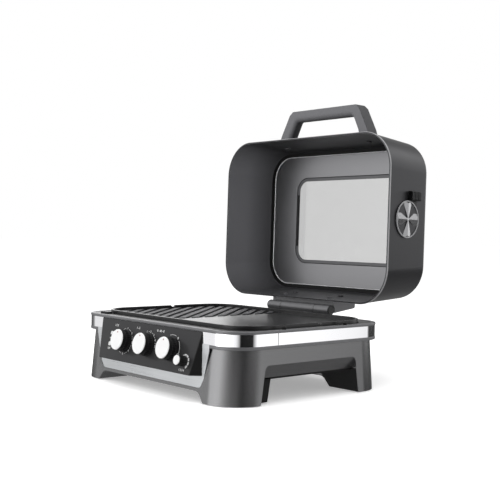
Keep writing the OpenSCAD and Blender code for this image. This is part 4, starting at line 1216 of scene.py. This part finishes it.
# Brightness of the studio's walls by compass angle, for directions below and above the horizon.
LOW_WALLS = (
    (-180, 0.10), (-160, 0.25), (-150, 0.85), (-131, 1.05), (-126, 2.9), (-100, 2.9), (-80, 2.0),
    (-60, 1.15), (-50, 1.0), (-37, 0.25), (-35, 0.012), (10, 0.012), (12, 0.25), (26, 1.1), (42, 1.3),
    (48, 1.0), (52, 0.3), (57, 0.05), (100, 0.05), (118, 0.3), (140, 0.2), (180, 0.10),
)
HIGH_WALLS = (
    (-180, 0.6), (-158, 0.8), (-145, 1.0), (-138, 1.0), (-131, 1.7), (-124, 2.6), (-100, 2.5), (-90, 1.5),
    (-78, 0.6), (-66, 0.2), (-60, 0.12), (-26, 0.12), (-12, 0.5), (4, 0.95), (66, 1.1), (74, 2.2),
    (86, 2.0), (95, 0.4), (118, 0.35), (133, 0.8), (139, 2.1), (152, 2.1), (165, 1.2), (180, 0.6),
)
# A ramp's colours end at 1, so they hold a third of the brightness, and the strength gives it back.
WALL_STRENGTH = 3
# Where the low walls turn into the high ones, as the height of a direction of length 1.
HORIZON = (-0.09, -0.04)
# Where the walls turn into plain grey ground, and that grey.
GROUND = (-0.25, -0.5)
GROUND_GREY = (0.28, 0.28, 0.28, 1)
# The walls fade downwards between these heights, to this strength.
FADE = (-0.6, -0.12)
FADED_STRENGTH = 1.1
WHITE = (1, 1, 1, 1)
# The colour inputs and output of a Mix node, whose names it shares with other kinds of value.
MIX_A, MIX_B, MIXED = 6, 7, 2


def wall_ramp(tree, stops):
    """A ramp round the compass from a list of angles and brightnesses."""
    ramp = add_node(tree, "ValToRGB")
    elements = ramp.color_ramp.elements
    elements.remove(elements[1])
    for i, (angle, value) in enumerate(stops):
        spot = (angle + 180) / 360
        element = elements[0] if i == 0 else elements.new(spot)
        element.position = spot
        level = value / WALL_STRENGTH
        element.color = (level, level, level, 1)
    return ramp


def map_range(tree, value, span, ends=(0, 1)):
    """Carry a value from one span to another."""
    made = add_node(tree, "MapRange", {
        "From Min": span[0],
        "From Max": span[1],
        "To Min": ends[0],
        "To Max": ends[1],
    })
    tree.links.new(value, made.inputs["Value"])
    return made.outputs["Result"]


def mix_colours(tree, share, first):
    """A Mix node between two colours, with its share and its first colour joined up."""
    made = add_node(tree, "Mix", data_type="RGBA")
    tree.links.new(share, made.inputs["Factor"])
    tree.links.new(first, made.inputs[MIX_A])
    return made


def mix_shaders(tree, share, first, second):
    """A shader between two others."""
    made = add_node(tree, "MixShader")
    tree.links.new(share, made.inputs["Fac"])
    tree.links.new(first, made.inputs[1])
    tree.links.new(second, made.inputs[2])
    return made.outputs["Shader"]


def seen_directly(tree, path):
    """One where a surface is seen by the camera, or through the glass."""
    made = add_node(tree, "Math", operation="MAXIMUM")
    tree.links.new(path.outputs["Is Camera Ray"], made.inputs[0])
    tree.links.new(path.outputs["Is Transmission Ray"], made.inputs[1])
    return made.outputs["Value"]


def build_world():
    """A white studio: even light from all round, with brighter and darker walls for metal and gloss."""
    world = bpy.data.worlds.new("studio")
    bpy.context.scene.world = world
    world.use_nodes = True
    tree = world.node_tree
    tree.nodes.clear()
    link = tree.links.new
    out = add_node(tree, "OutputWorld")
    path = add_node(tree, "LightPath")
    white = add_node(tree, "Background", {"Color": WHITE, "Strength": 1.0})
    even = add_node(tree, "Background", {"Color": WHITE, "Strength": 0.55})
    walls = add_node(tree, "Background")
    place = add_node(tree, "TexCoord")
    parts = add_node(tree, "SeparateXYZ")
    link(place.outputs["Generated"], parts.inputs["Vector"])
    angle = add_node(tree, "Math", operation="ARCTAN2")
    link(parts.outputs["Y"], angle.inputs[0])
    link(parts.outputs["X"], angle.inputs[1])
    share = map_range(tree, angle.outputs["Value"], (-math.pi, math.pi))
    low = wall_ramp(tree, LOW_WALLS)
    high = wall_ramp(tree, HIGH_WALLS)
    link(share, low.inputs["Fac"])
    link(share, high.inputs["Fac"])
    height = parts.outputs["Z"]
    mixed = mix_colours(tree, map_range(tree, height, HORIZON), low.outputs["Color"])
    link(high.outputs["Color"], mixed.inputs[MIX_B])
    ground = mix_colours(tree, map_range(tree, height, GROUND), mixed.outputs[MIXED])
    ground.inputs[MIX_B].default_value = GROUND_GREY
    link(ground.outputs[MIXED], walls.inputs["Color"])
    link(map_range(tree, height, FADE, (FADED_STRENGTH, WALL_STRENGTH)), walls.inputs["Strength"])
    lit = mix_shaders(
        tree, path.outputs["Is Glossy Ray"], even.outputs["Background"], walls.outputs["Background"]
    )
    shown = mix_shaders(tree, seen_directly(tree, path), lit, white.outputs["Background"])
    link(shown, out.inputs["Surface"])


# The floor: its colour, and the glow that lifts it to white away from what stands on it; ambient occlusion
# dims the glow near the grill, a painted contact shadow.
FLOOR_PALE = (0.97, 0.97, 0.97, 1)
SHADOW_REACH = 0.12
GLOW_NEAR, GLOW_MORE = 0.32, 0.17


def floor_finish():
    """A pale floor that shows soft contact shadows, partly from the lamps and partly painted shadow in its
    glow, lights the grill and isn't seen in its gloss.
    """
    material = bpy.data.materials.new("pale_floor")
    material.use_nodes = True
    tree = material.node_tree
    tree.nodes.clear()
    link = tree.links.new
    out = add_node(tree, "OutputMaterial")
    path = add_node(tree, "LightPath")
    lit = add_node(tree, "BsdfDiffuse", {"Color": FLOOR_PALE})
    # Ambient occlusion dims the glow near the grill: painted contact shadow.
    near = add_node(tree, "AmbientOcclusion", {"Distance": SHADOW_REACH})
    level = add_node(tree, "Math", {1: GLOW_MORE, 2: GLOW_NEAR}, operation="MULTIPLY_ADD")
    link(near.outputs["AO"], level.inputs[0])
    glow = add_node(tree, "Emission")
    link(level.outputs["Value"], glow.inputs["Strength"])
    both = add_node(tree, "AddShader")
    link(lit.outputs["BSDF"], both.inputs[0])
    link(glow.outputs["Emission"], both.inputs[1])
    plain = add_node(tree, "BsdfDiffuse", {"Color": tuple(bpy.context.scene.grill_colours.floor) + (1,)})
    clear = add_node(tree, "BsdfTransparent")
    shown = mix_shaders(tree, seen_directly(tree, path), plain.outputs["BSDF"], both.outputs["Shader"])
    last = mix_shaders(tree, path.outputs["Is Glossy Ray"], shown, clear.outputs["BSDF"])
    link(last, out.inputs["Surface"])
    return material


# The camera: its place, and the directions to its right, above it and ahead of it.
CAMERA_PLACE = (1.15572, -0.95648, 0.23914)
CAMERA_RIGHT = (0.65347, 0.75679, 0.01728)
CAMERA_UP = (-0.02490, -0.00132, 0.99974)
CAMERA_AHEAD = (-0.75658, 0.65370, -0.01798)
CAMERA_LENS = 67.13
CAMERA_SENSOR = 36


def place_camera():
    """The scene's camera, level with the lid and off the grill's front right corner."""
    data = bpy.data.cameras.new("camera")
    data.lens = CAMERA_LENS
    data.sensor_width = CAMERA_SENSOR
    camera = bpy.data.objects.new("camera", data)
    bpy.context.scene.collection.objects.link(camera)
    axes = Matrix((CAMERA_RIGHT, CAMERA_UP, -Vector(CAMERA_AHEAD)))
    place = axes.transposed().to_4x4()
    place.translation = CAMERA_PLACE
    camera.matrix_world = place
    bpy.context.scene.camera = camera


def build_stage():
    """The pale floor, the world, the soft lights and the camera."""
    clear_selection()
    bpy.ops.mesh.primitive_plane_add(size=40, location=(0, 0, -0.0002))
    floor = bpy.context.object
    floor.name = "stage_floor"
    floor.data.materials.append(floor_finish())
    build_world()
    for name, settings in LAMPS.items():
        soft_light(name, *settings)
    bpy.context.scene.view_settings.view_transform = "Standard"
    place_camera()


# ---------------------------------------------------------------- operators


class GRILL_OT_housing(bpy.types.Operator):
    """Model the painted housing with its legs and skirts, and the black pieces of painted shade under it"""

    bl_idname = "grill.housing"
    bl_label = "Housing"
    bl_options = {"REGISTER", "UNDO"}

    def execute(self, context):
        build_housing(context.scene.grill_sizes)
        build_leg_shade_lining()
        build_skirt_shade_strips()
        return {"FINISHED"}


class GRILL_OT_frame(bpy.types.Operator):
    """Model the two lips of the moulded frame"""

    bl_idname = "grill.frame"
    bl_label = "Frame"
    bl_options = {"REGISTER", "UNDO"}

    def execute(self, context):
        build_frame()
        return {"FINISHED"}


class GRILL_OT_band(bpy.types.Operator):
    """Model the polished band and the brushed front sheet"""

    bl_idname = "grill.band"
    bl_label = "Band and front sheet"
    bl_options = {"REGISTER", "UNDO"}

    def execute(self, context):
        build_band()
        return {"FINISHED"}


class GRILL_OT_panel(bpy.types.Operator):
    """Model the sloping control panel"""

    bl_idname = "grill.panel"
    bl_label = "Control panel"
    bl_options = {"REGISTER", "UNDO"}

    def execute(self, context):
        build_panel(context.scene.grill_sizes)
        return {"FINISHED"}


class GRILL_OT_prints(bpy.types.Operator):
    """Model the printed marks on the panel"""

    bl_idname = "grill.prints"
    bl_label = "Printed marks"
    bl_options = {"REGISTER", "UNDO"}

    def execute(self, context):
        build_prints()
        return {"FINISHED"}


class GRILL_OT_large_knobs(bpy.types.Operator):
    """Model the three large knobs"""

    bl_idname = "grill.large_knobs"
    bl_label = "Large knobs"
    bl_options = {"REGISTER", "UNDO"}

    def execute(self, context):
        build_large_knobs(context.scene.grill_sizes)
        return {"FINISHED"}


class GRILL_OT_small_knob(bpy.types.Operator):
    """Model the small knob"""

    bl_idname = "grill.small_knob"
    bl_label = "Small knob"
    bl_options = {"REGISTER", "UNDO"}

    def execute(self, context):
        build_small_knob()
        return {"FINISHED"}


class GRILL_OT_plate(bpy.types.Operator):
    """Model the lifting grill plate"""

    bl_idname = "grill.plate"
    bl_label = "Grill plate"
    bl_options = {"REGISTER", "UNDO"}

    def execute(self, context):
        build_plate(context.scene.grill_sizes)
        return {"FINISHED"}


class GRILL_OT_lid(bpy.types.Operator):
    """Model the lid's drawn sheet and its rim"""

    bl_idname = "grill.lid"
    bl_label = "Lid shell"
    bl_options = {"REGISTER", "UNDO"}

    def execute(self, context):
        build_lid(context.scene.grill_sizes)
        return {"FINISHED"}


class GRILL_OT_liner(bpy.types.Operator):
    """Model the panel inside the lid"""

    bl_idname = "grill.liner"
    bl_label = "Liner"
    bl_options = {"REGISTER", "UNDO"}

    def execute(self, context):
        build_liner()
        return {"FINISHED"}


class GRILL_OT_window(bpy.types.Operator):
    """Model the glass and its outer frame"""

    bl_idname = "grill.window"
    bl_label = "Window"
    bl_options = {"REGISTER", "UNDO"}

    def execute(self, context):
        build_window()
        return {"FINISHED"}


class GRILL_OT_handle(bpy.types.Operator):
    """Model the carrying handle"""

    bl_idname = "grill.handle"
    bl_label = "Handle"
    bl_options = {"REGISTER", "UNDO"}

    def execute(self, context):
        build_handle(context.scene.grill_sizes)
        return {"FINISHED"}


class GRILL_OT_hinge(bpy.types.Operator):
    """Model the hinge's knuckles, bracket and leaf"""

    bl_idname = "grill.hinge"
    bl_label = "Hinge"
    bl_options = {"REGISTER", "UNDO"}

    def execute(self, context):
        build_hinge()
        return {"FINISHED"}


class GRILL_OT_vent(bpy.types.Operator):
    """Model the turning vent"""

    bl_idname = "grill.vent"
    bl_label = "Vent"
    bl_options = {"REGISTER", "UNDO"}

    def execute(self, context):
        build_vent()
        return {"FINISHED"}


class GRILL_OT_carried(bpy.types.Operator):
    """Give the carried-over solids their finishes"""

    bl_idname = "grill.carried"
    bl_label = "Carried-over solids"
    bl_options = {"REGISTER", "UNDO"}

    def execute(self, context):
        finish_carried()
        return {"FINISHED"}


class GRILL_OT_stage(bpy.types.Operator):
    """Set up the floor, the lights and the camera"""

    bl_idname = "grill.stage"
    bl_label = "Stage"
    bl_options = {"REGISTER", "UNDO"}

    def execute(self, context):
        build_stage()
        return {"FINISHED"}


OPERATORS = (
    GRILL_OT_housing,
    GRILL_OT_frame,
    GRILL_OT_band,
    GRILL_OT_panel,
    GRILL_OT_prints,
    GRILL_OT_large_knobs,
    GRILL_OT_small_knob,
    GRILL_OT_plate,
    GRILL_OT_lid,
    GRILL_OT_liner,
    GRILL_OT_window,
    GRILL_OT_handle,
    GRILL_OT_hinge,
    GRILL_OT_vent,
    GRILL_OT_carried,
    GRILL_OT_stage,
)


class GRILL_PT_sidebar(bpy.types.Panel):
    """The grill's sizes, colours and pieces"""

    bl_idname = "GRILL_PT_sidebar"
    bl_label = "Indoor Grill"
    bl_space_type = "VIEW_3D"
    bl_region_type = "UI"
    bl_category = "Grill"

    def draw(self, context):
        layout = self.layout
        for group in (context.scene.grill_sizes, context.scene.grill_colours):
            box = layout.box()
            for key in group.bl_rna.properties.keys():
                if key not in ("rna_type", "name"):
                    box.prop(group, key)
        for operator in OPERATORS:
            layout.operator(operator.bl_idname)


CLASSES = (GrillSizes, GrillColours) + OPERATORS + (GRILL_PT_sidebar,)


def register():
    for cls in CLASSES:
        bpy.utils.register_class(cls)
    bpy.types.Scene.grill_sizes = bpy.props.PointerProperty(type=GrillSizes)
    bpy.types.Scene.grill_colours = bpy.props.PointerProperty(type=GrillColours)


def unregister():
    del bpy.types.Scene.grill_colours
    del bpy.types.Scene.grill_sizes
    for cls in reversed(CLASSES):
        bpy.utils.unregister_class(cls)


def main():
    """Model every piece in order and set the stage."""
    register()
    bpy.ops.grill.housing()
    bpy.ops.grill.frame()
    bpy.ops.grill.band()
    bpy.ops.grill.panel()
    bpy.ops.grill.prints()
    bpy.ops.grill.large_knobs()
    bpy.ops.grill.small_knob()
    bpy.ops.grill.plate()
    bpy.ops.grill.lid()
    bpy.ops.grill.liner()
    bpy.ops.grill.window()
    bpy.ops.grill.handle()
    bpy.ops.grill.hinge()
    bpy.ops.grill.vent()
    bpy.ops.grill.carried()
    bpy.ops.grill.stage()


if __name__ == "__main__":
    main()
